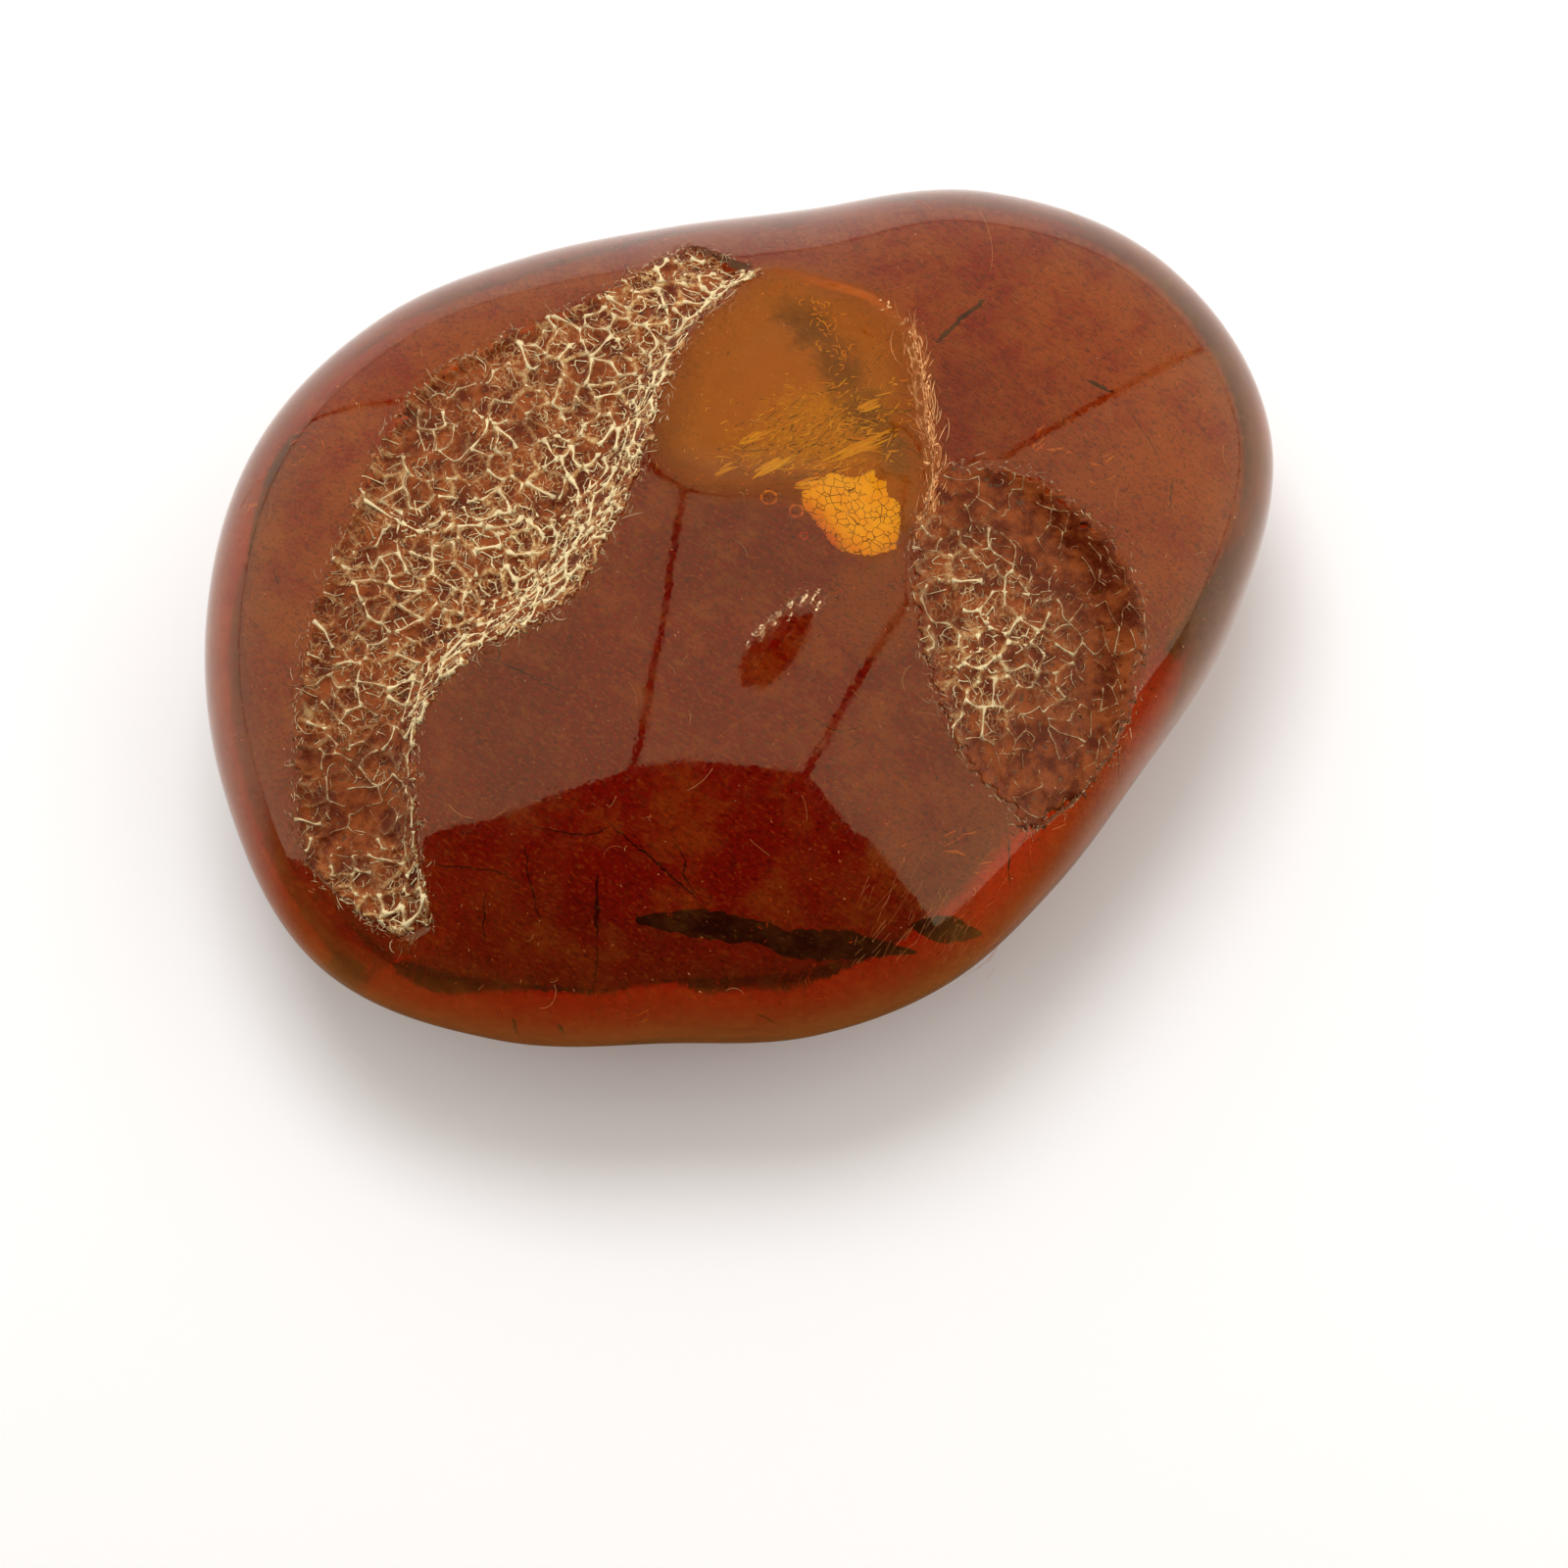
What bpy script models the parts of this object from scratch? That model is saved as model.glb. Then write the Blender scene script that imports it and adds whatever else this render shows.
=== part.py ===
"""A polished amber stone with two crusted hollows, and two slivers of bark sealed inside it."""

import math

import bmesh
import bpy
from mathutils import Vector, noise
from mathutils.geometry import intersect_point_line

MM = 0.001  # every size below is in millimetres

# The stone's body: an uneven pebble, widest at its equator
OUTLINE_RADII = (34.8, 40.0, 39.9, 35.8, 30.2, 28.8, 30.2, 33.5, 36.3,
                 37.3, 37.8, 37.8, 33.8, 30.0, 29.5, 29.3, 28.9, 30.2)  # from +X, at equal angles, anticlockwise
EQUATOR_HEIGHT = 14.0
DOME_HEIGHT = 15.5  # from the equator up
BELLY_DEPTH = 15.5  # from the equator down, before the base is cut flat
FULLNESS = 2.25  # 2 is an ellipse, more is squarer
RIDGE_HEIGHT = 2.2  # the broad back that runs across the top
RIDGE_REACH = (10.5, 17.0)
RIDGE_MIDDLE = 2.0
RIDGE_LEAN = 0.12  # how far the back drifts in x for each millimetre of y
RIDGE_FADE = 0.35  # the outer share of the stone over which the back dies away
WAVE_HEIGHT = 0.45  # broad unevenness left by hand polishing
WAVE_LENGTH = 19.0
BASE_MESH_STEPS = 5  # times the ball is divided, before the hollows are divided once more

# The two crusted hollows, each between a steep wall and a gentle lip
LEFT_HOLLOW = {
    "wall": [(1.5, 22.1), (-3.4, 16.4), (-5.6, 8.8), (-7.2, 4.4), (-11.3, -2.5),
             (-17.2, -5.3), (-20.7, -9.2), (-21.2, -13.7), (-20.3, -22.8)],
    "lip": [(-3.5, 24.9), (-9.8, 20.5), (-16.8, 17.1), (-22.6, 13.1), (-26.2, 4.6),
            (-29.1, -3.9), (-29.8, -15.0), (-28.1, -19.5), (-22.7, -23.7)],
    "depth": 3.4,
}
RIGHT_HOLLOW = {
    "wall": [(15.0, 7.4), (19.6, 7.2), (22.6, 5.2), (25.3, 3.1), (27.0, 0.4),
             (27.7, -3.1), (27.1, -6.8), (25.9, -10.3), (23.5, -13.4)],
    "lip": [(13.3, 6.5), (11.6, 2.4), (11.6, -1.8), (12.6, -6.3), (13.9, -9.7),
            (15.6, -12.7), (19.7, -16.4)],
    "depth": 2.4,
}
HOLLOWS = (LEFT_HOLLOW, RIGHT_HOLLOW)
WALL_SHARE = 0.26  # how much of a hollow's width its wall takes
LIP_RISE = 0.80  # how much of the depth is gone at the lip
LIP_STEP = 1.2  # the width of the small step at the lip
FULL_WIDTH = 14.0  # a hollow narrower than this is shallower too
PIT_SIZE = 3.0
PIT_DEPTH = 0.6
PIT_WALL = 0.45  # share of a pit taken by the wall around it
PIT_EDGE = 1.5  # pits fade over this much at a hollow's border

# The smooth dip between the hollows, with a broken ledge on its right
DIP_OUTLINE = [(1.5, 22.1), (6.5, 20.9), (9.8, 19.3), (12.1, 16.0), (12.9, 9.6), (13.3, 6.5),
               (11.6, 2.4), (8.4, 0.8), (4.5, 4.5), (-2.3, 5.2), (-5.6, 8.8), (-3.4, 16.4)]
LEDGE = DIP_OUTLINE[1:7]
DIP_DEPTH = 1.1
DIP_RUN = 4.0
LEDGE_DROP = 0.7
LEDGE_REACH = 2.5

# The slivers of bark lie flat in the parting plane, each in a pocket of its own
PARTING_HEIGHT = 17.0
GAP = 0.3  # between faces that meet in the real stone
SLIVERS = {
    "bark_sliver_long": {
        "spine": [(-6.8, -19.9), (-2.5, -20.1), (1.3, -20.7), (3.2, -21.5), (6.7, -21.7), (11.5, -22.4)],
        "half_widths": [0.25, 0.90, 0.60, 0.75, 0.95, 0.15],
    },
    "bark_sliver_short": {
        "spine": [(11.3, -20.5), (13.3, -20.9), (15.8, -21.6)],
        "half_widths": [0.20, 0.75, 0.15],
    },
}
SLIVER_HALF_THICKNESS = 0.45
SLIVER_SIDES = 10
SLIVER_RINGS = 16
SLIVER_ROUGHNESS = 0.12  # how ragged a sliver's surface is

CUTTER_SIZE = 120.0  # a block that reaches past the stone on every side

AMBER_COLOUR = (0.42, 0.10, 0.018, 1.0)
BARK_COLOUR = (0.012, 0.007, 0.006, 1.0)


def smooth_step(value):
    """0 below 0, 1 above 1, and a smooth rise between."""
    value = min(1.0, max(0.0, value))
    return value * value * (3.0 - 2.0 * value)


def through_points(values, place, closed=False):
    """Read a smooth curve that passes through evenly spaced values."""
    count = len(values)
    index = math.floor(place)
    part = place - index

    def value_at(step):
        if closed:
            return values[(index + step) % count]
        return values[min(count - 1, max(0, index + step))]

    before, start, end, after = (value_at(step) for step in (-1, 0, 1, 2))
    slope = end - before
    bend = 2 * before - 5 * start + 4 * end - after
    twist = 3 * (start - end) + after - before
    return start + 0.5 * part * (slope + part * (bend + part * twist))


def outline_radius(angle):
    """The outline's distance from the middle, in one direction."""
    place = (angle / math.tau) % 1.0 * len(OUTLINE_RADII)
    return through_points(OUTLINE_RADII, place, closed=True)


def outline_middle():
    """The middle of the box around the outline, which becomes the part's origin."""
    angles = [math.tau * step / 720 for step in range(720)]
    across = [outline_radius(angle) * math.cos(angle) for angle in angles]
    along = [outline_radius(angle) * math.sin(angle) for angle in angles]
    return Vector(((max(across) + min(across)) / 2, (max(along) + min(along)) / 2, 0.0))


def distance_to_path(x, y, path):
    """The shortest distance from a point to a line of straight runs."""
    point = Vector((x, y))
    shortest = math.inf
    for start, end in zip(path, path[1:]):
        start, end = Vector(start), Vector(end)
        nearest, share = intersect_point_line(point, start, end)
        nearest = start if share < 0 else end if share > 1 else nearest
        shortest = min(shortest, (point - nearest).length)
    return shortest


def is_inside(x, y, corners):
    """Whether a point lies inside a closed outline."""
    inside = False
    for (x1, y1), (x2, y2) in zip(corners, corners[1:] + corners[:1]):
        if (y1 > y) != (y2 > y) and x < (x2 - x1) * (y - y1) / (y2 - y1) + x1:
            inside = not inside
    return inside


def pit_depth(x, y):
    """Rounded pits with thin walls between them, as the crust's honeycomb has."""
    distances, _ = noise.voronoi(Vector((x, y, 0.0)) / PIT_SIZE)
    return PIT_DEPTH * smooth_step((distances[1] - distances[0]) / PIT_WALL)


def hollow_depth(x, y, hollow):
    """A steep wall on one side, and a floor that rises to a low lip on the other."""
    wall, lip = hollow["wall"], hollow["lip"]
    if not is_inside(x, y, wall + lip[::-1]):
        return 0.0
    to_wall = distance_to_path(x, y, wall)
    to_lip = distance_to_path(x, y, lip)
    width = to_wall + to_lip
    across = to_wall / width
    floor = hollow["depth"] * min(1.0, width / FULL_WIDTH) * (1.0 - LIP_RISE * across)
    pits = pit_depth(x, y) * smooth_step(min(to_wall, to_lip) / PIT_EDGE)
    return floor * smooth_step(across / WALL_SHARE) * smooth_step(to_lip / LIP_STEP) + pits


def dip_depth(x, y):
    """The smooth dip, deepest along its broken ledge."""
    if not is_inside(x, y, DIP_OUTLINE):
        return 0.0
    inward = distance_to_path(x, y, DIP_OUTLINE + DIP_OUTLINE[:1])
    ledge = LEDGE_DROP * math.exp(-distance_to_path(x, y, LEDGE) / LEDGE_REACH)
    return DIP_DEPTH * smooth_step(inward / DIP_RUN) + ledge * smooth_step(inward)


def stone_point(direction):
    """The place on the stone's surface in one direction from its middle."""
    angle = math.atan2(direction.y, direction.x)
    reach = math.hypot(direction.x, direction.y) ** (2 / FULLNESS)
    rise = math.copysign(abs(direction.z) ** (2 / FULLNESS), direction.z)
    radius = outline_radius(angle) * reach
    x, y = radius * math.cos(angle), radius * math.sin(angle)
    z = EQUATOR_HEIGHT + rise * (DOME_HEIGHT if rise > 0 else BELLY_DEPTH)
    z += WAVE_HEIGHT * rise * noise.noise(Vector((x, y, z)) / WAVE_LENGTH)
    if rise > 0:
        sideways = (x - RIDGE_MIDDLE - RIDGE_LEAN * y) / RIDGE_REACH[0]
        lengthways = y / RIDGE_REACH[1]
        back = RIDGE_HEIGHT * math.exp(-(sideways ** 2 + lengthways ** 2) / 2)
        z += back * min(1.0, (1.0 - reach) / RIDGE_FADE)
        z -= dip_depth(x, y) + sum(hollow_depth(x, y, hollow) for hollow in HOLLOWS)
    return Vector((x, y, z))


def is_carved(direction):
    """Whether a point of the ball lands in one of the hollows or in the dip."""
    if direction.z <= 0:
        return False
    x, y, _ = stone_point(direction)
    outlines = [hollow["wall"] + hollow["lip"][::-1] for hollow in HOLLOWS] + [DIP_OUTLINE]
    return any(is_inside(x, y, outline) for outline in outlines)


def make_stone_mesh(name, middle):
    """The whole stone as one closed skin, with smaller faces in its hollows."""
    ball = bmesh.new()
    bmesh.ops.create_icosphere(ball, subdivisions=BASE_MESH_STEPS, radius=1.0)
    carved = [face for face in ball.faces if is_carved(face.calc_center_median().normalized())]
    edges = {edge for face in carved for edge in face.edges}
    bmesh.ops.subdivide_edges(ball, edges=list(edges), cuts=1, use_grid_fill=True)
    bmesh.ops.triangulate(ball, faces=ball.faces[:])
    for vertex in ball.verts:
        vertex.co = (stone_point(vertex.co.normalized()) - middle) * MM
    bmesh.ops.recalc_face_normals(ball, faces=ball.faces[:])
    mesh = bpy.data.meshes.new(name)
    ball.to_mesh(mesh)
    ball.free()
    mesh.shade_smooth()
    return mesh


def make_sliver_mesh(name, sliver, middle, margin):
    """A flat flake along its spine. A margin makes the same shape larger, for its pocket."""
    flake = bmesh.new()
    bmesh.ops.create_uvsphere(flake, u_segments=SLIVER_SIDES, v_segments=SLIVER_RINGS, radius=1.0)
    spine, half_widths = sliver["spine"], sliver["half_widths"]
    last = len(spine) - 1
    for vertex in flake.verts:
        side, up, along = vertex.co
        place = (along + 1.0) / 2.0 * last
        x = through_points([point[0] for point in spine], place) + margin * along
        y = through_points([point[1] for point in spine], place)
        girth = math.sqrt(max(0.0, 1.0 - along * along))
        roundness = girth ** -0.5 if girth > 0 else 1.0  # fuller towards its ends than a ball
        ragged = 1.0 + SLIVER_ROUGHNESS * noise.noise(Vector((x, y, up)))
        width = through_points(half_widths, place) * ragged + margin
        height = SLIVER_HALF_THICKNESS * ragged + margin
        vertex.co = Vector((x - middle.x,
                            y - middle.y + side * roundness * width,
                            PARTING_HEIGHT + up * roundness * height)) * MM
    bmesh.ops.recalc_face_normals(flake, faces=flake.faces[:])
    mesh = bpy.data.meshes.new(name)
    flake.to_mesh(mesh)
    flake.free()
    mesh.shade_smooth()
    return mesh


def make_block(name, low, high, collection):
    """A square cutter between two heights."""
    bpy.ops.mesh.primitive_cube_add(size=1.0, location=(0.0, 0.0, (low + high) / 2 * MM))
    block = bpy.context.active_object
    block.name = name
    block.scale = (CUTTER_SIZE * MM, CUTTER_SIZE * MM, (high - low) * MM)
    bpy.ops.object.transform_apply(location=False, rotation=False, scale=True)
    move_to(block, collection)
    return block


def move_to(thing, collection):
    """Keep an object in one collection only."""
    for other in list(thing.users_collection):
        other.objects.unlink(thing)
    collection.objects.link(thing)


def hide_cutter(cutter):
    """A cutter is a guide and no part of the stone."""
    cutter.hide_render = True
    cutter.display_type = "WIRE"


def cut_away(piece, cutter):
    """Take the cutter's space out of a piece."""
    cut = piece.modifiers.new(f"cut {cutter.name}", "BOOLEAN")
    cut.operation = "DIFFERENCE"
    cut.solver = "EXACT"
    cut.object = cutter


def make_material(name, colour, roughness, clear):
    """A plain finish, see-through where clear is 1."""
    material = bpy.data.materials.new(name)
    material.use_nodes = True
    shader = material.node_tree.nodes["Principled BSDF"]
    shader.inputs["Base Color"].default_value = colour
    shader.inputs["Roughness"].default_value = roughness
    shader.inputs["Metallic"].default_value = 0.0
    shader.inputs["Transmission Weight"].default_value = clear
    shader.inputs["IOR"].default_value = 1.54
    return material


def add_piece(name, mesh, material, collection):
    """Put one named piece of the stone in its collection."""
    mesh.materials.append(material)
    piece = bpy.data.objects.new(name, mesh)
    collection.objects.link(piece)
    return piece


def main():
    for thing in list(bpy.data.objects):
        bpy.data.objects.remove(thing, do_unlink=True)
    parts = bpy.data.collections.new("Amber stone")
    cutters = bpy.data.collections.new("Cutters")
    for collection in (parts, cutters):
        bpy.context.scene.collection.children.link(collection)

    amber = make_material("polished amber", AMBER_COLOUR, roughness=0.08, clear=1.0)
    bark = make_material("bark", BARK_COLOUR, roughness=0.7, clear=0.0)
    middle = outline_middle()

    below_base = make_block("below_base", -CUTTER_SIZE, 0.0, cutters)
    above_parting = make_block("above_parting", PARTING_HEIGHT - GAP / 2, CUTTER_SIZE, cutters)
    below_parting = make_block("below_parting", -CUTTER_SIZE, PARTING_HEIGHT + GAP / 2, cutters)
    pockets = []
    for name, sliver in SLIVERS.items():
        add_piece(name, make_sliver_mesh(name, sliver, middle, margin=0.0), bark, parts)
        pocket = bpy.data.objects.new(f"{name}_pocket", make_sliver_mesh(f"{name}_pocket", sliver, middle, GAP))
        cutters.objects.link(pocket)
        pockets.append(pocket)

    stone = make_stone_mesh("amber_stone_lower", middle)
    lower = add_piece("amber_stone_lower", stone, amber, parts)
    upper = add_piece("amber_stone_upper", stone.copy(), amber, parts)
    for cutter in (below_base, above_parting, *pockets):
        cut_away(lower, cutter)
    for cutter in (below_parting, *pockets):
        cut_away(upper, cutter)
    for cutter in cutters.objects:
        hide_cutter(cutter)


main()
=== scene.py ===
import math

import bmesh
import bpy
import numpy as np
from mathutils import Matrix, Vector, noise
from mathutils.geometry import delaunay_2d_cdt


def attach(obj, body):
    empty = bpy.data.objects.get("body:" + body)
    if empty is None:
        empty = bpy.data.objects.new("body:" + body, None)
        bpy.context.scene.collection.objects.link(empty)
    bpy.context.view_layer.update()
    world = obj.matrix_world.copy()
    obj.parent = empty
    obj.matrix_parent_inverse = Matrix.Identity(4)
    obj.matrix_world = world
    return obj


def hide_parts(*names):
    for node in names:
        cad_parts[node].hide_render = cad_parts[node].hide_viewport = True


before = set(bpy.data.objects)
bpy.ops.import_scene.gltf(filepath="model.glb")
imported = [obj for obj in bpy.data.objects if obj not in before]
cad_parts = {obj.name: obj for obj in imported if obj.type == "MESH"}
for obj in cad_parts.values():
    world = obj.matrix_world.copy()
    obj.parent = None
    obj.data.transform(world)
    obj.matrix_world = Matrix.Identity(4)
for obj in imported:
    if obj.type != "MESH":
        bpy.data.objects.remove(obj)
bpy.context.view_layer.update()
mm = 0.001  # shapes below are worked out in millimetres


class Wire:  # a shader socket that can stand in a sum
    def __init__(self, tree, socket=None):
        self.tree = tree
        self.socket = socket

    def node(self, kind, settings=None, inputs=None, output=0):
        made = self.tree.nodes.new("ShaderNode" + kind)
        for name, value in (settings or {}).items():
            setattr(made, name, value)
        for key, value in (inputs or {}).items():
            if isinstance(value, Wire):
                self.tree.links.new(value.socket, made.inputs[key])
            else:
                made.inputs[key].default_value = value
        return Wire(self.tree, made.outputs[output])

    def calc(self, operation, *values):
        return self.node("Math", {"operation": operation}, dict(enumerate(values)))

    def __add__(self, other):
        return self.calc("ADD", self, other)

    def __radd__(self, other):
        return self.calc("ADD", other, self)

    def __sub__(self, other):
        return self.calc("SUBTRACT", self, other)

    def __rsub__(self, other):
        return self.calc("SUBTRACT", other, self)

    def __mul__(self, other):
        return self.calc("MULTIPLY", self, other)

    def __rmul__(self, other):
        return self.calc("MULTIPLY", other, self)

    def ramp(self, low, high):  # 0 at low, 1 at high, smooth between; low may be the larger
        return self.node("MapRange", {"interpolation_type": "SMOOTHSTEP"},
                         {"Value": self, "From Min": low, "From Max": high})

    def tint(self, none, full):  # a colour that goes from none to full
        return self.node("Mix", {"data_type": "RGBA"}, {0: self, 6: none, 7: full}, 2)

    def stretch(self, x, y, z):
        return self.node("VectorMath", {"operation": "MULTIPLY"}, {0: self, 1: (x, y, z)})

    def turn(self, x, y, z):
        return self.node("VectorRotate", {"rotation_type": "EULER_XYZ"},
                         {"Vector": self, "Rotation": (x, y, z)})

    def grain(self, size, detail=3.0, rough=0.55):  # cloudy noise with lumps of that size
        return self.node("TexNoise", None,
                         {"Vector": self, "Scale": 1 / size, "Detail": detail, "Roughness": rough})

    def bend(self, size, amount):  # the same place, pushed about by noise
        push = self.node("TexNoise", None, {"Vector": self, "Scale": 1 / size, "Detail": 2.0}, 1)
        centred = self.node("VectorMath", {"operation": "SUBTRACT"}, {0: push, 1: (0.5, 0.5, 0.5)})
        return self.node("VectorMath", {"operation": "MULTIPLY_ADD"},
                         {0: centred, 1: (amount,) * 3, 2: self})

    def cellEdge(self, size):  # distance to the nearest wall between cells, 0 on the wall
        return self.node("TexVoronoi", {"feature": "DISTANCE_TO_EDGE"},
                         {"Vector": self, "Scale": 1 / size, "Randomness": 1.0})

    def bump(self, height):  # height in metres
        return self.node("Bump", None, {"Strength": 1.0, "Distance": 1.0, "Height": height})


def startFinish(name, **plain):
    material = bpy.data.materials.new(name)
    material.use_nodes = True
    tree = material.node_tree
    shader = tree.nodes["Principled BSDF"]
    for socket, value in plain.items():
        shader.inputs[socket.replace("_", " ")].default_value = value
    material.cycles.emission_sampling = "NONE"
    place = Wire(tree).node("TexCoord", output="Object").stretch(1 / mm, 1 / mm, 1 / mm)
    return material, shader, place


def feed(shader, **wires):
    for socket, wire in wires.items():
        wire.tree.links.new(wire.socket, shader.inputs[socket.replace("_", " ")])


def named(wire, attribute):  # a value kept on the mesh's points
    return wire.node("Attribute", {"attribute_name": attribute}, output="Fac")


# Smooth lines through given points

def curveThrough(before, start, end, after, part):
    bend = 2 * before - 5 * start + 4 * end - after
    twist = 3 * (start - end) + after - before
    return start + 0.5 * part * (end - before + part * (bend + part * twist))


def smoothPath(points, steps=4, closed=False):
    before, after = (points[-1:], points[:2]) if closed else (points[:1], points[-1:])
    spots = np.array([*before, *points, *after], float)
    places = [tuple(curveThrough(*spots[start:start + 4], step / steps))
              for start in range(len(spots) - 3) for step in range(steps)]
    return places if closed else places + [tuple(points[-1])]


# The stone's shape, with the same sizes as its solids

stoneShape = {
    "outlineRadii": (34.8, 40.0, 39.9, 35.8, 30.2, 28.8, 30.2, 33.5, 36.3,
                     37.3, 37.8, 37.8, 33.8, 30.0, 29.5, 29.3, 28.9, 30.2),  # from +X, anticlockwise
    "equator": 14.0,
    "dome": 15.5,
    "belly": 15.5,
    "fullness": 2.25,
    "ridge": {"height": 2.2, "reach": (10.5, 17.0), "middle": 2.0, "lean": 0.12, "fade": 0.35},
    "waveHeight": 0.45,
    "waveLength": 19.0,
    "meshSteps": 7,
}
leftHollow = {
    "wall": smoothPath([(1.5, 22.1), (-3.4, 16.4), (-5.6, 8.8), (-7.2, 4.4), (-11.3, -2.5),
                        (-17.2, -5.3), (-20.7, -9.2), (-21.2, -13.7), (-20.3, -22.8)]),
    "lip": smoothPath([(-3.5, 24.9), (-9.8, 20.5), (-16.8, 17.1), (-22.6, 13.1), (-26.2, 4.6),
                       (-29.1, -3.9), (-29.8, -15.0), (-28.1, -19.5), (-22.7, -23.7)]),
    "depth": 3.4,
    "cream": 0.62,  # how much of the honeycomb is cream
    "creamSpots": [(-19.0, 12.0, 5.0, -0.30), (-25.0, -1.0, 3.5, -0.15), (-26.0, -12.0, 4.0, -0.35),
                   (-3.0, 21.5, 4.0, 0.15), (-13.0, -1.0, 4.5, 0.35), (-23.0, -21.5, 2.5, 0.25),
                   (-12.0, 7.0, 4.0, 0.20), (-23.0, -15.5, 3.0, -0.20), (-25.5, -17.0, 3.0, -0.25)],
    "wallCream": 0.35,
}
rightHollow = {
    "wall": smoothPath([(15.0, 7.4), (19.6, 7.2), (22.6, 5.2), (25.3, 3.1), (27.0, 0.4),
                        (27.7, -3.1), (27.1, -6.8), (25.9, -10.3), (23.5, -13.4)]),
    "lip": smoothPath([(13.3, 6.5), (11.6, 2.4), (11.6, -1.8), (12.6, -6.3), (13.9, -9.7),
                       (15.6, -12.7), (19.7, -16.4)]),
    "depth": 2.4,
    "cream": 0.05,
    "creamSpots": [(15.0, 1.0, 3.5, 0.35), (17.5, -4.5, 3.5, 0.42), (20.5, -4.0, 2.2, 0.15),
                   (14.5, -8.0, 2.5, 0.35), (22.0, 4.0, 4.0, -0.30), (21.5, -12.5, 3.5, -0.10)],
    "wallCream": -0.15,
}
hollowShape = {"wallShare": 0.26, "lipRise": 0.80, "lipStep": 1.2, "fullWidth": 14.0}
dipShape = {
    "outline": smoothPath([(1.5, 22.1), (6.5, 20.9), (9.8, 19.3), (12.1, 16.0), (12.9, 9.6),
                           (13.3, 6.5), (11.6, 2.4), (8.4, 0.8), (4.5, 4.5), (-2.3, 5.2),
                           (-5.6, 8.8), (-3.4, 16.4)], closed=True),
    "ledge": smoothPath([(6.5, 20.9), (9.8, 19.3), (12.1, 16.0), (12.9, 9.6), (13.3, 6.5), (11.6, 2.4)]),
    "depth": 1.1,
    "run": 4.0,
    "drop": 0.7,
    "reach": 2.5,
}


def smoothStep(value):
    value = np.clip(value, 0.0, 1.0)
    return value * value * (3.0 - 2.0 * value)


def noiseAt(points, size):  # mathutils noise, -1 to 1, at every point
    return np.array([noise.noise(Vector(point)) for point in np.asarray(points) / size])


def flatNoise(x, y, size, shift=0.0):
    return noiseAt(np.stack([x, y, np.full(len(x), shift)], 1), size)


def outlineRadius(angle):  # a smooth closed curve through the outline's radii
    radii = np.array(stoneShape["outlineRadii"])
    place = (angle / math.tau) % 1.0 * len(radii)
    index = np.floor(place).astype(int)
    return curveThrough(*(radii[(index + step) % len(radii)] for step in (-1, 0, 1, 2)), place - index)


def outlineMiddle():  # the middle of the outline's box is the part's origin
    angle = math.tau * np.arange(720) / 720
    x, y = outlineRadius(angle) * np.cos(angle), outlineRadius(angle) * np.sin(angle)
    return np.array([(x.max() + x.min()) / 2, (y.max() + y.min()) / 2, 0.0])


def pathDistance(x, y, path):
    best = np.full(np.shape(x), np.inf)
    for (x1, y1), (x2, y2) in zip(path, path[1:]):
        share = ((x - x1) * (x2 - x1) + (y - y1) * (y2 - y1)) / ((x2 - x1) ** 2 + (y2 - y1) ** 2)
        share = np.clip(share, 0.0, 1.0)
        best = np.minimum(best, np.hypot(x - x1 - share * (x2 - x1), y - y1 - share * (y2 - y1)))
    return best


def isInside(x, y, corners):
    inside = np.zeros(np.shape(x), bool)
    for (x1, y1), (x2, y2) in zip(corners, corners[1:] + corners[:1]):
        if y1 != y2:
            inside ^= ((y1 > y) != (y2 > y)) & (x < (x2 - x1) * (y - y1) / (y2 - y1) + x1)
    return inside


def ringOf(hollow):
    return hollow["wall"] + hollow["lip"][::-1]


def inwardDistance(x, y, corners):  # how far inside a closed outline, negative outside
    distance = pathDistance(x, y, corners + corners[:1])
    return np.where(isInside(x, y, corners), distance, -distance)


def hollowDepth(x, y, hollow):
    shape = hollowShape
    toWall, toLip = pathDistance(x, y, hollow["wall"]), pathDistance(x, y, hollow["lip"])
    width = toWall + toLip
    across = toWall / width
    floor = hollow["depth"] * np.minimum(1.0, width / shape["fullWidth"]) * (1.0 - shape["lipRise"] * across)
    depth = floor * smoothStep(across / shape["wallShare"]) * smoothStep(toLip / shape["lipStep"])
    return np.where(isInside(x, y, ringOf(hollow)), depth, 0.0)


def dipDepth(x, y):
    inward = inwardDistance(x, y, dipShape["outline"])
    ledge = dipShape["drop"] * np.exp(-pathDistance(x, y, dipShape["ledge"]) / dipShape["reach"])
    depth = dipShape["depth"] * smoothStep(inward / dipShape["run"]) + ledge * smoothStep(inward / 0.4)
    return np.where(inward > 0, depth, 0.0)


def waves(x, y, z, rise):  # the skin is gently uneven
    return stoneShape["waveHeight"] * rise * noiseAt(np.stack([x, y, z], 1), stoneShape["waveLength"])


def liftTop(x, y, reach, rise):  # the height of the upper side, carved
    z = stoneShape["equator"] + rise * stoneShape["dome"]
    z = z + waves(x, y, z, rise)
    ridge = stoneShape["ridge"]
    sideways = (x - ridge["middle"] - ridge["lean"] * y) / ridge["reach"][0]
    back = ridge["height"] * np.exp(-(sideways ** 2 + (y / ridge["reach"][1]) ** 2) / 2)
    z = z + back * np.minimum(1.0, (1.0 - reach) / ridge["fade"])
    return z - dipDepth(x, y) - hollowDepth(x, y, leftHollow) - hollowDepth(x, y, rightHollow)


def topAt(x, y):  # the height of the upper side above each spot
    shape, (x, y) = np.shape(x), (np.ravel(x).astype(float), np.ravel(y).astype(float))
    fullness = stoneShape["fullness"]
    reach = np.minimum(np.hypot(x, y) / outlineRadius(np.arctan2(y, x)), 1.0)
    return liftTop(x, y, reach, (1.0 - reach ** fullness) ** (1 / fullness)).reshape(shape)


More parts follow.
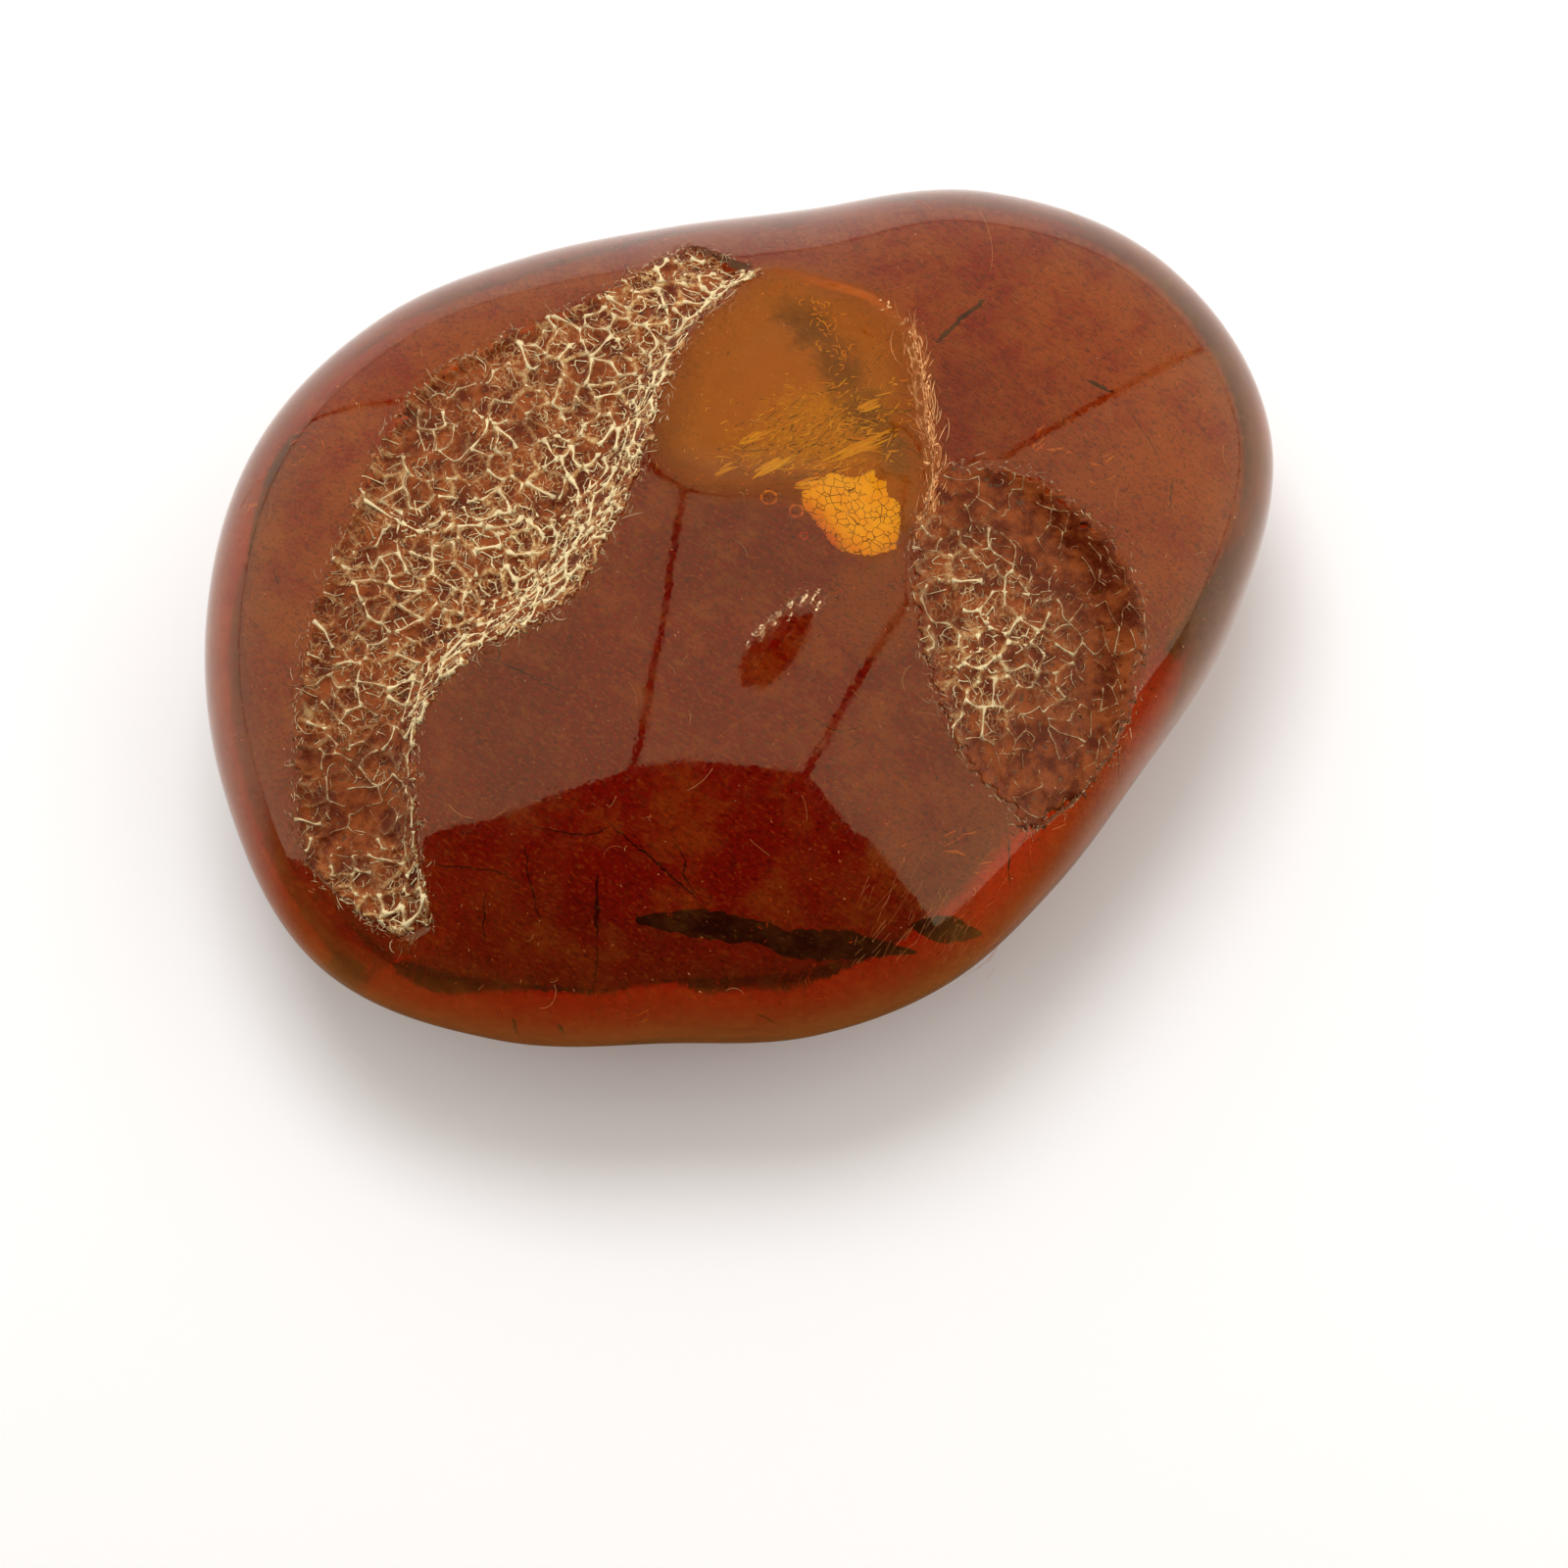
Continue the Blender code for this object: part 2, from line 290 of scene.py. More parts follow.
def stonePoints(directions):
    fullness = stoneShape["fullness"]
    angle = np.arctan2(directions[:, 1], directions[:, 0])
    reach = np.hypot(directions[:, 0], directions[:, 1]) ** (2 / fullness)
    rise = np.abs(directions[:, 2]) ** (2 / fullness)
    radius = outlineRadius(angle) * reach
    x, y = radius * np.cos(angle), radius * np.sin(angle)
    below = stoneShape["equator"] - rise * stoneShape["belly"]
    below = below - waves(x, y, below, rise)
    z = np.where(directions[:, 2] > 0, liftTop(x, y, reach, rise), np.maximum(below, 0.0))
    return np.stack([x, y, z], 1)


middle = outlineMiddle()


def meshFrom(name, points, faces, smooth=True, **values):  # points in millimetres, in the outline's frame
    mesh = bpy.data.meshes.new(name)
    mesh.from_pydata((np.asarray(points) - middle) * mm, [], [tuple(face) for face in faces])
    for label, value in values.items():
        attribute = mesh.attributes.new(label, "FLOAT", "POINT")
        attribute.data.foreach_set("value", np.asarray(value, np.float32))
    if smooth:
        mesh.shade_smooth()
    mesh.update()
    return mesh


def addPiece(name, mesh, material):
    mesh.materials.clear()
    mesh.materials.append(material)
    piece = bpy.data.objects.new(name, mesh)
    bpy.context.scene.collection.objects.link(piece)
    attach(piece, "root")
    print(name, "made,", len(mesh.polygons), "faces")
    return piece


# Sheets: a closed slab over the kept squares of a grid

def borderEdges(cells, number):  # edges with a square on one side only, wound as that square winds them
    padded = np.pad(cells, 1)
    pairs = []
    for down, right, (r1, c1), (r2, c2) in ((-1, 0, (0, 0), (0, 1)), (0, 1, (0, 1), (1, 1)),
                                            (1, 0, (1, 1), (1, 0)), (0, -1, (1, 0), (0, 0))):
        neighbour = padded[1 + down:padded.shape[0] - 1 + down, 1 + right:padded.shape[1] - 1 + right]
        row, column = np.nonzero(cells & ~neighbour)
        pairs.append(np.stack([number[row + r1, column + c1], number[row + r2, column + c2]], 1))
    return np.concatenate(pairs)


def sheetMesh(name, outline, spacing, keepAt, heightsAt):
    low, high = np.min(outline, axis=0) - 1.0, np.max(outline, axis=0) + 1.0
    xs, ys = np.arange(low[0], high[0], spacing), np.arange(low[1], high[1], spacing)
    x, y = (grid.ravel() for grid in np.meshgrid(xs, ys))
    keep = keepAt(x, y).reshape(len(ys), len(xs))
    cells = keep[:-1, :-1] & keep[1:, :-1] & keep[:-1, 1:] & keep[1:, 1:]
    for _ in range(8):  # no two squares touch at a corner alone
        a, b, c, d = cells[:-1, :-1], cells[:-1, 1:], cells[1:, :-1], cells[1:, 1:]
        pinch = (a & d & ~b & ~c) | (b & c & ~a & ~d)
        row, column = np.nonzero(pinch)
        for down in (0, 1):
            cells[row + down, column] = cells[row + down, column + 1] = True
    used = np.zeros_like(keep)
    for down in (0, 1):
        for right in (0, 1):
            used[down:len(ys) - 1 + down, right:len(xs) - 1 + right] |= cells
    number = (np.cumsum(used.ravel()) - 1).reshape(used.shape)
    x, y = x[used.ravel()], y[used.ravel()]
    top, bottom, values = heightsAt(x, y)
    low, across, up, both = number[:-1, :-1], number[:-1, 1:], number[1:, :-1], number[1:, 1:]
    quads = np.stack([low[cells], across[cells], both[cells], up[cells]], 1)
    start, end = borderEdges(cells, number).T
    count = len(x)
    sides = np.stack([end, start, start + count, end + count], 1)
    faces = np.concatenate([quads, quads[:, ::-1] + count, sides])
    points = np.concatenate([np.stack([x, y, top], 1), np.stack([x, y, bottom], 1)])
    return meshFrom(name, points, faces, **{name: np.tile(value, 2) for name, value in values.items()})


# Strands: closed tapering rods along many lines at once

class Strands:
    def __init__(self):
        self.points, self.faces, self.tones, self.count = [], [], [], 0

    def add(self, lines, width, up, down=None, tone=0.5, sides=3):  # lines: strand, step, place
        number, steps, _ = lines.shape
        if not number:
            return
        width, up = np.broadcast_to(width, (number, steps)), np.broadcast_to(up, (number, steps))
        down = up if down is None else np.broadcast_to(down, (number, steps))
        tangent = np.gradient(lines, axis=1)
        side = np.stack([-tangent[..., 1], tangent[..., 0], np.zeros((number, steps))], -1)
        side /= np.maximum(np.linalg.norm(side, axis=-1, keepdims=True), 1e-6)
        angle = math.tau * np.arange(sides) / sides + math.pi / 2
        rise = np.sin(angle)
        lift = np.where(rise > 0, rise * up[..., None], rise * down[..., None])
        rings = lines[:, :, None] + side[:, :, None] * (np.cos(angle) * width[..., None])[..., None]
        rings[..., 2] += lift
        index = np.arange(number * steps * sides).reshape(number, steps, sides) + self.count
        near, far = index[:, :-1], index[:, 1:]
        quads = np.stack([near, np.roll(near, -1, 2), np.roll(far, -1, 2), far], -1).reshape(-1, 4)
        self.points.append(rings.reshape(-1, 3))
        self.faces += quads.tolist() + index[:, 0, ::-1].tolist() + index[:, -1].tolist()
        self.tones.append(np.broadcast_to(np.reshape(tone, (-1, 1, 1)), (number, steps, sides)).ravel())
        self.count += index.size

    def mesh(self, name):
        return meshFrom(name, np.concatenate(self.points), self.faces, tone=np.concatenate(self.tones))


def taper(steps, end=0.25):  # full in the middle, thin at both ends
    return end + (1 - end) * np.sin(math.pi * np.linspace(0, 1, steps)) ** 0.6


def threadLines(x, y, heading, length, curl, lift, steps=5):  # bent threads over the stone's upper side
    share = np.linspace(0, 1, steps)
    turned = heading[:, None] + curl[:, None] * (share - 0.5)
    step = length[:, None] / (steps - 1)
    lineX = x[:, None] + np.cumsum(np.cos(turned) * step, 1)
    lineY = y[:, None] + np.cumsum(np.sin(turned) * step, 1)
    return np.stack([lineX, lineY, topAt(lineX, lineY) + lift], -1)


def scatter(strands, rng, x, y, heading, kind):  # threads of one kind, each from its own spot
    count, steps = len(x), kind["steps"]
    low, high = kind["length"]
    length = low + rng.exponential(high, count) if kind.get("tailed") else rng.uniform(low, high, count)
    curl = rng.normal(0, kind["curl"], count)
    lift = -rng.uniform(*kind["depth"], (count, 1)) if "depth" in kind else kind["lift"]  # under or over
    lines = threadLines(x, y, heading, length, curl, lift, steps)
    width = kind["width"]
    if "uneven" in kind:
        width = width * taper(steps, kind.get("end", 0.25)) * rng.uniform(*kind["uneven"], (count, 1))
    tone = rng.uniform(*kind["tone"], count) if "tone" in kind else 0.5
    strands.add(lines, width, kind["height"], None, tone, kind.get("sides", 3))


def scatterOverTop(strands, rng, kind):  # the same all over the upper side, lying every way
    count = kind["count"]
    angle, share = rng.uniform(0, math.tau, count), 0.93 * np.sqrt(rng.uniform(size=count))
    radius = outlineRadius(angle) * share
    x, y = radius * np.cos(angle), radius * np.sin(angle)
    scatter(strands, rng, x, y, rng.uniform(0, math.tau, count), kind)


# Clear amber

amberLook = {
    "red": (0.50, 0.007, 0.002, 1),  # the old skin where it is red and thick
    "orange": (0.74, 0.19, 0.016, 1),
    # painted rim light: the band round the edge is tinted orange to stand in for the lit table seen through
    # the thin edge
    "rim": (0.36, 0.150, 0.010, 1),
    # painted light: the lower flank is tinted bright orange to stand in for the lit table seen through it
    "under": (0.80, 0.30, 0.06, 1),
    "window": (0.93, 0.52, 0.07, 1),
    "warmSpots": [(28.0, 6.0, 11.0, 0.60), (6.0, 23.0, 9.0, 0.35), (20.0, -19.5, 4.5, 0.95),
                  (-31.0, 2.0, 7.0, 0.40), (-17.0, -20.0, 4.5, -0.45), (6.5, -20.0, 3.0, -0.45),
                  (-18.0, 20.0, 7.0, 0.30), (11.0, -18.0, 2.2, 0.60), (24.5, -16.5, 4.0, 0.80),
                  (8.6, -2.7, 1.7, 1.80)],  # x, y, reach, how much more orange
    "absorb": (0.93, 0.70, 0.28, 1),
    "density": 150.0,
    "ior": 1.54,
    "clear": 0.97,
    "specularLevel": 0.52,
    "specularTint": (1.0, 0.84, 0.48, 1),
    "roughness": (0.025, 0.085),
    # painted shade in the reflection: in the window the same polish mirrors less, and warmer, standing in
    # for less light mirrored there
    "windowSpecular": 0.30,
    "windowTint": (1.0, 0.70, 0.25, 1),
    "cloudy": (0.46, 0.15, 0.018, 1),  # where the skin isn't clear
    "cloudyDark": (0.38, 0.085, 0.010, 1),
    "cloudyPaintedRim": 0.56,  # how much of the skin that is: at the rim, where it is painted light, in patches and in specks
    "cloudyPatches": 0.06,
    "cloudySpecks": 0.12,
    "speckDark": (0.12, 0.010, 0.002, 1),
    "darkSpecks": 0.65,
    "paleSpecks": 0.60,
}


def makeAmberFinish():
    look = amberLook
    material, shader, place = startFinish(
        "polished amber", IOR=look["ior"], Transmission_Weight=look["clear"],
        Specular_IOR_Level=look["specularLevel"], Specular_Tint=look["specularTint"])
    window, under, rim, warm = (named(place, name) for name in ("window", "under", "rim", "warm"))
    clouds = place.grain(4.5, 3.0, 0.7)
    fibres = place.turn(0, 0, 0.55).stretch(0.45, 1.2, 0.9).grain(0.6, 1.0, 0.7)
    skin = (clouds * 1.1 + fibres * 0.3 + warm * 0.45).ramp(0.66, 1.02).tint(look["red"], look["orange"])
    # painted rim light: orange tint round the edge
    skin = rim.tint(skin, look["rim"])
    # painted light on the lower flank
    skin = under.tint(skin, look["under"])
    grit = place.turn(0, 0, 0.55).stretch(0.7, 1.3, 1.0).grain(0.30, 1.0, 0.75)
    skin = (grit.ramp(0.46, 0.34) * look["darkSpecks"]).tint(skin, look["speckDark"])
    skin = (grit.ramp(0.56, 0.72) * look["paleSpecks"]).tint(skin, look["orange"])
    colour = window.tint(skin, look["window"])
    scratch = place.turn(0, 0, 0.6).stretch(14.0, 0.35, 1.0).grain(1.0, 0.0).ramp(0.66, 0.76)
    low, high = look["roughness"]
    height = place.grain(0.30, 0.0) * 1.6e-6 - scratch * 1.5e-6
    roughness, normal = clouds.ramp(0.35, 0.7) * (high - low) + low, place.bump(height)
    feed(shader, Base_Color=colour, Roughness=roughness, Normal=normal)
    same = {"Roughness": roughness, "Normal": normal, "IOR": look["ior"]}
    # a shaded copy of the polish: weaker, warmer reflection in the window
    shadedPane = place.node("BsdfPrincipled", None, {
        **same, "Base Color": colour, "Transmission Weight": look["clear"],
        "Specular IOR Level": look["windowSpecular"], "Specular Tint": look["windowTint"]})
    cloudy = place.node("BsdfPrincipled", None, {
        **same, "Base Color": fibres.ramp(0.30, 0.75).tint(look["cloudyDark"], look["cloudy"]),
        "Specular IOR Level": look["specularLevel"], "Specular Tint": look["specularTint"]})
    clear = place.node("MixShader", None, {0: window, 1: Wire(place.tree, shader.outputs[0]), 2: shadedPane})
    # the cloudy share at the rim is painted rim light as well
    share = (rim * look["cloudyPaintedRim"] + clouds.ramp(0.42, 0.66) * look["cloudyPatches"]
             + grit.ramp(0.60, 0.78) * look["cloudySpecks"])
    both = place.node("MixShader", None, {0: share, 1: clear, 2: cloudy})
    absorption = place.node("VolumeAbsorption", None, {"Color": look["absorb"], "Density": look["density"]})
    output = material.node_tree.nodes["Material Output"]
    material.node_tree.links.new(both.socket, output.inputs["Surface"])
    material.node_tree.links.new(absorption.socket, output.inputs["Volume"])
    return material


def makeAmberStone():
    ball = bmesh.new()
    bmesh.ops.create_icosphere(ball, subdivisions=stoneShape["meshSteps"], radius=1.0)
    centres = np.array([face.calc_center_median() for face in ball.faces])
    centres /= np.linalg.norm(centres, axis=1)[:, None]
    spots = stonePoints(centres)
    near = np.zeros(len(spots), bool)
    for corners in (ringOf(leftHollow), ringOf(rightHollow), dipShape["outline"]):
        near |= inwardDistance(spots[:, 0], spots[:, 1], corners) > -0.8
    near &= centres[:, 2] > 0
    faces = list(ball.faces)
    edges = {edge for index in np.flatnonzero(near) for edge in faces[index].edges}
    bmesh.ops.subdivide_edges(ball, edges=list(edges), cuts=1, use_grid_fill=True)
    bmesh.ops.triangulate(ball, faces=ball.faces[:])
    directions = np.array([vertex.co for vertex in ball.verts])
    directions /= np.linalg.norm(directions, axis=1)[:, None]
    corners = [tuple(vertex.index for vertex in face.verts) for face in ball.faces]
    ball.free()
    points = stonePoints(directions)
    x, y, z = points.T
    window = smoothStep(inwardDistance(x, y, dipShape["outline"]) / 2.5 + 0.5) * (directions[:, 2] > 0)
    # painted light: stronger towards the bottom of the stone
    under = smoothStep((stoneShape["equator"] - 7.0 - z) / 6.0)
    # painted rim light: a band round the edge, centred just below the equator
    rim = np.exp(-((z - stoneShape["equator"] + 1.0) / 6.0) ** 2) * (1.0 - window)
    warm = sum(amount * np.exp(-((x - spotX) ** 2 + (y - spotY) ** 2) / (2 * reach ** 2))
               for spotX, spotY, reach, amount in amberLook["warmSpots"])
    mesh = meshFrom("amber_stone", points, corners, window=window, under=under, rim=rim, warm=warm)
    piece = addPiece("amber_stone", mesh, makeAmberFinish())
    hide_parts("amber_stone_lower", "amber_stone_upper")


makeAmberStone()


# Crust in the two hollows: a crazed floor, and a honeycomb of cream walls and threads over it

crustLook = {
    "spacing": 0.16,  # between the mesh's points
    "cell": 1.5,
    "jitter": 0.46,
    "wobble": (0.26, 0.60),
    "wallHeight": 0.16,
    "ragged": 0.75,  # how far the border wanders
    "thickness": 0.5,
    "floorDark": (0.075, 0.008, 0.002, 1),
    "floorPale": (0.22, 0.048, 0.010, 1),
    "wallTan": (0.29, 0.095, 0.020, 1),
    "wallCream": (0.58, 0.41, 0.18, 1),
    "threadDark": (0.20, 0.060, 0.012, 1),
    "threadCream": (0.76, 0.63, 0.36, 1),
    "nets": [{"cell": 1.5, "seed": 7, "chance": (0.50, 1.20), "width": (0.024, 0.086), "flare": 1.8},
             {"cell": 0.72, "seed": 8, "chance": (0.04, 0.60), "width": (0.015, 0.024), "flare": 1.0}],
    "threadsPerArea": 4.5,  # threads on a square millimetre
}


def makeCrustFinish():
    look = crustLook
    material, shader, place = startFinish("weathered crust", IOR=1.54, Specular_IOR_Level=0.25,
                                          Specular_Tint=(1.0, 0.6, 0.35, 1))
    edge, cream = named(place, "edge"), named(place, "cream")
    wander = place.bend(0.5, 0.20)
    ragged = edge + (wander.grain(0.22, 3.0) - 0.5) * 0.34
    wall = ragged.ramp(0.22, 0.02) * place.grain(1.9, 2.0).ramp(0.36, 0.56)
    web = wander.cellEdge(0.5).ramp(0.11, 0.03) * place.grain(1.3, 2.0).ramp(0.42, 0.60)
    pale = (wall.calc("MAXIMUM", wall, web * 0.8)) * cream.ramp(0.0, 0.9)
    floor = place.grain(1.6, 4.0, 0.65).ramp(0.36, 0.66).tint(look["floorDark"], look["floorPale"])
    light = place.grain(0.35, 3.0, 0.7).ramp(0.35, 0.65).tint(look["wallTan"], look["wallCream"])
    height = place.grain(0.15, 2.0, 0.7) * 4.5e-5
    feed(shader, Base_Color=pale.tint(floor, light), Roughness=pale * 0.40 + 0.22,
         Normal=place.bump(height))
    return material


def makeFibreFinish():
    look = crustLook
    material, shader, place = startFinish("crust fibres", IOR=1.5, Roughness=0.5, Specular_IOR_Level=0.2,
                                          Specular_Tint=(1.0, 0.8, 0.5, 1))
    tone = named(place, "tone")
    mixed = tone + (place.grain(0.8, 3.0, 0.7) - 0.5) * 1.2
    feed(shader, Base_Color=mixed.ramp(0.10, 0.90).tint(look["threadDark"], look["threadCream"]))
    return material


def creamAt(x, y, hollow):
    cream = hollow["cream"] + 0.28 * flatNoise(x, y, 2.6, 3.0)
    cream = cream + hollow["wallCream"] * np.exp(-pathDistance(x, y, hollow["wall"]) / 1.8)
    for spotX, spotY, reach, amount in hollow["creamSpots"]:
        cream = cream + amount * np.exp(-((x - spotX) ** 2 + (y - spotY) ** 2) / (2 * reach ** 2))
    return np.clip(cream, 0.0, 1.0)


def unroll(x, y, hollow):  # the wall is steep, so the pattern is laid along its slope
    drop = hollowDepth(x, y, hollow)
    (x1, y1), (x2, y2) = hollow["wall"][0], hollow["wall"][-1]
    length = math.hypot(x2 - x1, y2 - y1)
    return x - drop * (y1 - y2) / length, y + drop * (x1 - x2) / length


def rollBack(u, v, hollow):
    x, y = u.copy(), v.copy()
    for _ in range(24):
        nowU, nowV = unroll(x, y, hollow)
        x, y = x + 0.4 * (u - nowU), y + 0.4 * (v - nowV)
    return x, y


def wobbled(u, v, sign=1.0):
    fine, broad = (sign * amount for amount in crustLook["wobble"])
    return (u + fine * flatNoise(u, v, 0.9, 5.0) + broad * flatNoise(u, v, 2.8, 15.0),
            v + fine * flatNoise(u, v, 0.9, 50.0) + broad * flatNoise(u, v, 2.8, 55.0))


def cellSeeds(hollow, cell, seed):  # jittered hexagonal pattern over the unrolled hollow
    ring, rng = np.array(ringOf(hollow)), np.random.default_rng(seed)
    (lowX, lowY), (highX, highY) = ring.min(0) - 5.0, ring.max(0) + 5.0
    rows = np.arange(lowY, highY, cell * math.sqrt(0.75))
    columns = np.arange(lowX, highX, cell)
    seedX = (columns[None] + (np.arange(len(rows)) % 2)[:, None] * cell / 2).ravel()
    seedY = np.repeat(rows, len(columns))
    return np.stack([seedX, seedY], 1) + rng.uniform(-1, 1, (len(seedX), 2)) * crustLook["jitter"] * cell


def cellWalls(u, v, seeds):  # distance to the nearest wall between the cells
    wallDistance = np.empty(len(u))
    for part in np.array_split(np.arange(len(u)), max(1, len(u) // 3000)):
        squared = ((np.stack([u[part], v[part]], 1)[:, None] - seeds[None]) ** 2).sum(2)
        nearest = np.argpartition(squared, 8, axis=1)[:, :8]
        near = np.take_along_axis(squared, nearest, 1)
        order = near.argmin(1)
        row = np.arange(len(part))
        own, best = nearest[row, order], near[row, order]
        between = np.linalg.norm(seeds[own][:, None] - seeds[nearest], axis=2)
        between[row, order] = 1.0
        toWall = (near - best[:, None]) / (2 * between)
        toWall[row, order] = np.inf
        wallDistance[part] = toWall.min(1)
    return wallDistance


def netLines(hollow, net, steps=5):  # the walls between the cells, as lines over the hollow
    seeds = cellSeeds(hollow, net["cell"], net["seed"])
    corners, _, triangles, *_ = delaunay_2d_cdt([Vector(spot) for spot in seeds.tolist()], [], [], 0, 1e-6)
    corners, triangles = np.array([tuple(corner) for corner in corners]), np.array(triangles)
    a, b, c = (corners[triangles[:, index]] for index in range(3))
    b, c = b - a, c - a
    area = 2 * (b[:, 0] * c[:, 1] - b[:, 1] * c[:, 0])
    centreX = (c[:, 1] * (b ** 2).sum(1) - b[:, 1] * (c ** 2).sum(1)) / area
    centreY = (b[:, 0] * (c ** 2).sum(1) - c[:, 0] * (b ** 2).sum(1)) / area
    centres = a + np.stack([centreX, centreY], 1)
    pairs = np.sort(np.concatenate([triangles[:, ends] for ends in ([0, 1], [1, 2], [2, 0])]), axis=1)
    owner = np.tile(np.arange(len(triangles)), 3)
    order = np.lexsort((pairs[:, 1], pairs[:, 0]))
    pairs, owner = pairs[order], owner[order]
    same = np.flatnonzero((pairs[1:] == pairs[:-1]).all(1))
    start, end = centres[owner[same]], centres[owner[same + 1]]
    length = np.linalg.norm(end - start, axis=1)
    fits = (length > 0.06) & (length < 2 * net["cell"])
    share = np.linspace(0, 1, steps)[:, None]
    lines = start[fits][:, None] * (1 - share) + end[fits][:, None] * share
    u, v = wobbled(lines[..., 0].ravel(), lines[..., 1].ravel(), -1.0)
    x, y = rollBack(u, v, hollow)
    inside = inwardDistance(x, y, ringOf(hollow)) + 0.45 * flatNoise(x, y, 0.8) > 0.05
    inside = inside.reshape(-1, steps).all(1)
    return x.reshape(-1, steps)[inside], y.reshape(-1, steps)[inside]


def makeCrustFloor(name, hollow, material):
    look, ring = crustLook, ringOf(hollow)
    seeds = cellSeeds(hollow, look["cell"], look["nets"][0]["seed"])

    def keepAt(x, y):
        inward = inwardDistance(x, y, ring)
        keep = inward > -0.6
        wander = flatNoise(x[keep], y[keep], 1.1) + 0.5 * flatNoise(x[keep], y[keep], 0.35)
        keep[keep] = inward[keep] + look["ragged"] * wander > 0.12
        return keep

    def heightsAt(x, y):
        edge = cellWalls(*wobbled(*unroll(x, y, hollow)), seeds)
        cream = creamAt(x, y, hollow)
        border = smoothStep((inwardDistance(x, y, ring) + 0.2) / 0.5)
        relief = look["wallHeight"] * (0.4 + cream) * smoothStep((0.32 - edge) / 0.30)
        relief += 0.05 * flatNoise(x, y, 0.45) + 0.03 * flatNoise(x, y, 0.2)
        ground = topAt(x, y)
        return ground + relief * border + 0.02, ground - look["thickness"], {"edge": edge, "cream": cream}

    mesh = sheetMesh(name, ring, look["spacing"], keepAt, heightsAt)
    addPiece(name, mesh, material)


def makeCrustFibres(name, hollow, material, seed):
    rng, ring, strands = np.random.default_rng(seed), ringOf(hollow), Strands()
    for net in crustLook["nets"]:
        x, y = netLines(hollow, net)
        steps = x.shape[1]
        cream = creamAt(x[:, steps // 2], y[:, steps // 2], hollow)
        chance, more = net["chance"]
        patchy = smoothStep(0.5 + 1.3 * flatNoise(x[:, steps // 2], y[:, steps // 2], 2.2, 70.0))
        there = rng.uniform(size=len(x)) < (chance + more * cream) * (0.45 + 0.65 * patchy)
        x, y, cream = x[there], y[there], cream[there]
        flare = 1.0 + net["flare"] * np.abs(np.linspace(-1, 1, steps)) ** 3
        thin, thick = net["width"]
        width = (thin + thick * cream * rng.uniform(0.25, 1.3, len(x)))[:, None] * flare
        rise = width * rng.uniform(0.9, 1.8, (len(x), 1))
        lines = np.stack([x, y, topAt(x, y) + 0.08 + rng.uniform(-0.06, 0.06, (len(x), 1))], -1)
        strands.add(lines, width, rise, width + 0.12, 0.32 + 0.75 * cream * rng.uniform(0.5, 1.1, len(x)), 4)
    low, high = np.min(ring, axis=0), np.max(ring, axis=0)
    count = int((high - low).prod() * crustLook["threadsPerArea"])
    x, y = (rng.uniform(*ends, count) for ends in zip(low, high))
    inside = inwardDistance(x, y, ring) > 0.05
    x, y = x[inside], y[inside]
    cream = creamAt(x, y, hollow)
    kept = rng.uniform(size=len(x)) < 0.25 + 1.1 * cream
    x, y, cream = x[kept], y[kept], cream[kept]
    count = len(x)
    length = 0.25 + rng.exponential(0.35, count)
    lift = rng.uniform(0.04, 0.18, (count, 1))
    lift = lift + rng.uniform(-0.12, 0.16, (count, 1)) * np.linspace(0, 1, 5)
    lines = threadLines(x, y, rng.uniform(0, math.tau, count), length, rng.normal(0, 1.5, count), lift)
    width = 0.019 * taper(5) * rng.uniform(0.5, 1.7, (count, 1))
    tone = np.clip(0.05 + 0.80 * cream + rng.normal(0, 0.30, count), 0, 1)
    strands.add(lines, width, 0.018 * taper(5), None, tone)
    addPiece(name, strands.mesh(name), material)


crustFinish, fibreFinish = makeCrustFinish(), makeFibreFinish()
for side, hollow in (("left", leftHollow), ("right", rightHollow)):
    makeCrustFloor("crust_" + side, hollow, crustFinish)
    makeCrustFibres("crust_fibres_" + side, hollow, fibreFinish, 11)


# Loose fibres along the borders, in the groove above the right hollow, and lint on the polish

borderLook = {
    "fuzz": {"count": 2200, "spread": (0.24, 0.24), "turn": 0.45, "lift": (0.03, 0.04),
             "length": (0.12, 0.22), "uneven": (0.5, 1.8), "tone": (-0.4, 0.8)},
    "groove": smoothPath([(12.2, 1.5), (13.2, 6.5), (12.9, 9.6), (12.3, 13.0), (12.0, 16.5)]),
    "grooveFuzz": {"count": 620, "spread": (0.32, 0.30), "turn": 0.30, "lift": (0.05, 0.08),
                   "length": (0.25, 0.45), "uneven": (0.5, 1.7), "tone": (-0.1, 1.1)},
    "ledge": smoothPath([(12.0, 3.0), (13.0, 6.0), (12.9, 9.6), (12.1, 16.0), (9.8, 19.3)]),
    # pale bits along the broken ledge: partly real chips, partly painted glints
    "chipsAndGlints": {"count": 110, "spread": 0.12, "turn": 0.5, "steps": 3, "length": (0.08, 0.45), "curl": 0.5,
              "lift": 0.03, "width": 0.07, "uneven": (0.4, 1.3), "height": 0.03, "tone": (0.9, 1.5)},
    "lint": {"count": 110, "steps": 7, "length": (0.4, 0.8), "tailed": True, "curl": 1.2,
             "lift": 0.02, "width": 0.011, "height": 0.011, "tone": (0.0, 0.8)},
    "dust": {"count": 420, "steps": 3, "length": (0.06, 0.22), "curl": 0.5, "lift": 0.03,
             "width": 0.032, "uneven": (0.5, 1.4), "height": 0.02, "tone": (0.0, 0.9)},
    "hairlines": {"count": 90, "low": (7.5, -25.5), "high": (17.5, -21.0), "heading": 0.95, "turn": 0.15,
                  "steps": 4, "length": (0.5, 0.7), "tailed": True, "curl": 0.3,
                  "lift": 0.02, "width": 0.008, "height": 0.008, "tone": (0.0, 0.4)},
    "lintDark": (0.50, 0.13, 0.02, 1),
    "lintPale": (0.88, 0.50, 0.20, 1),
}


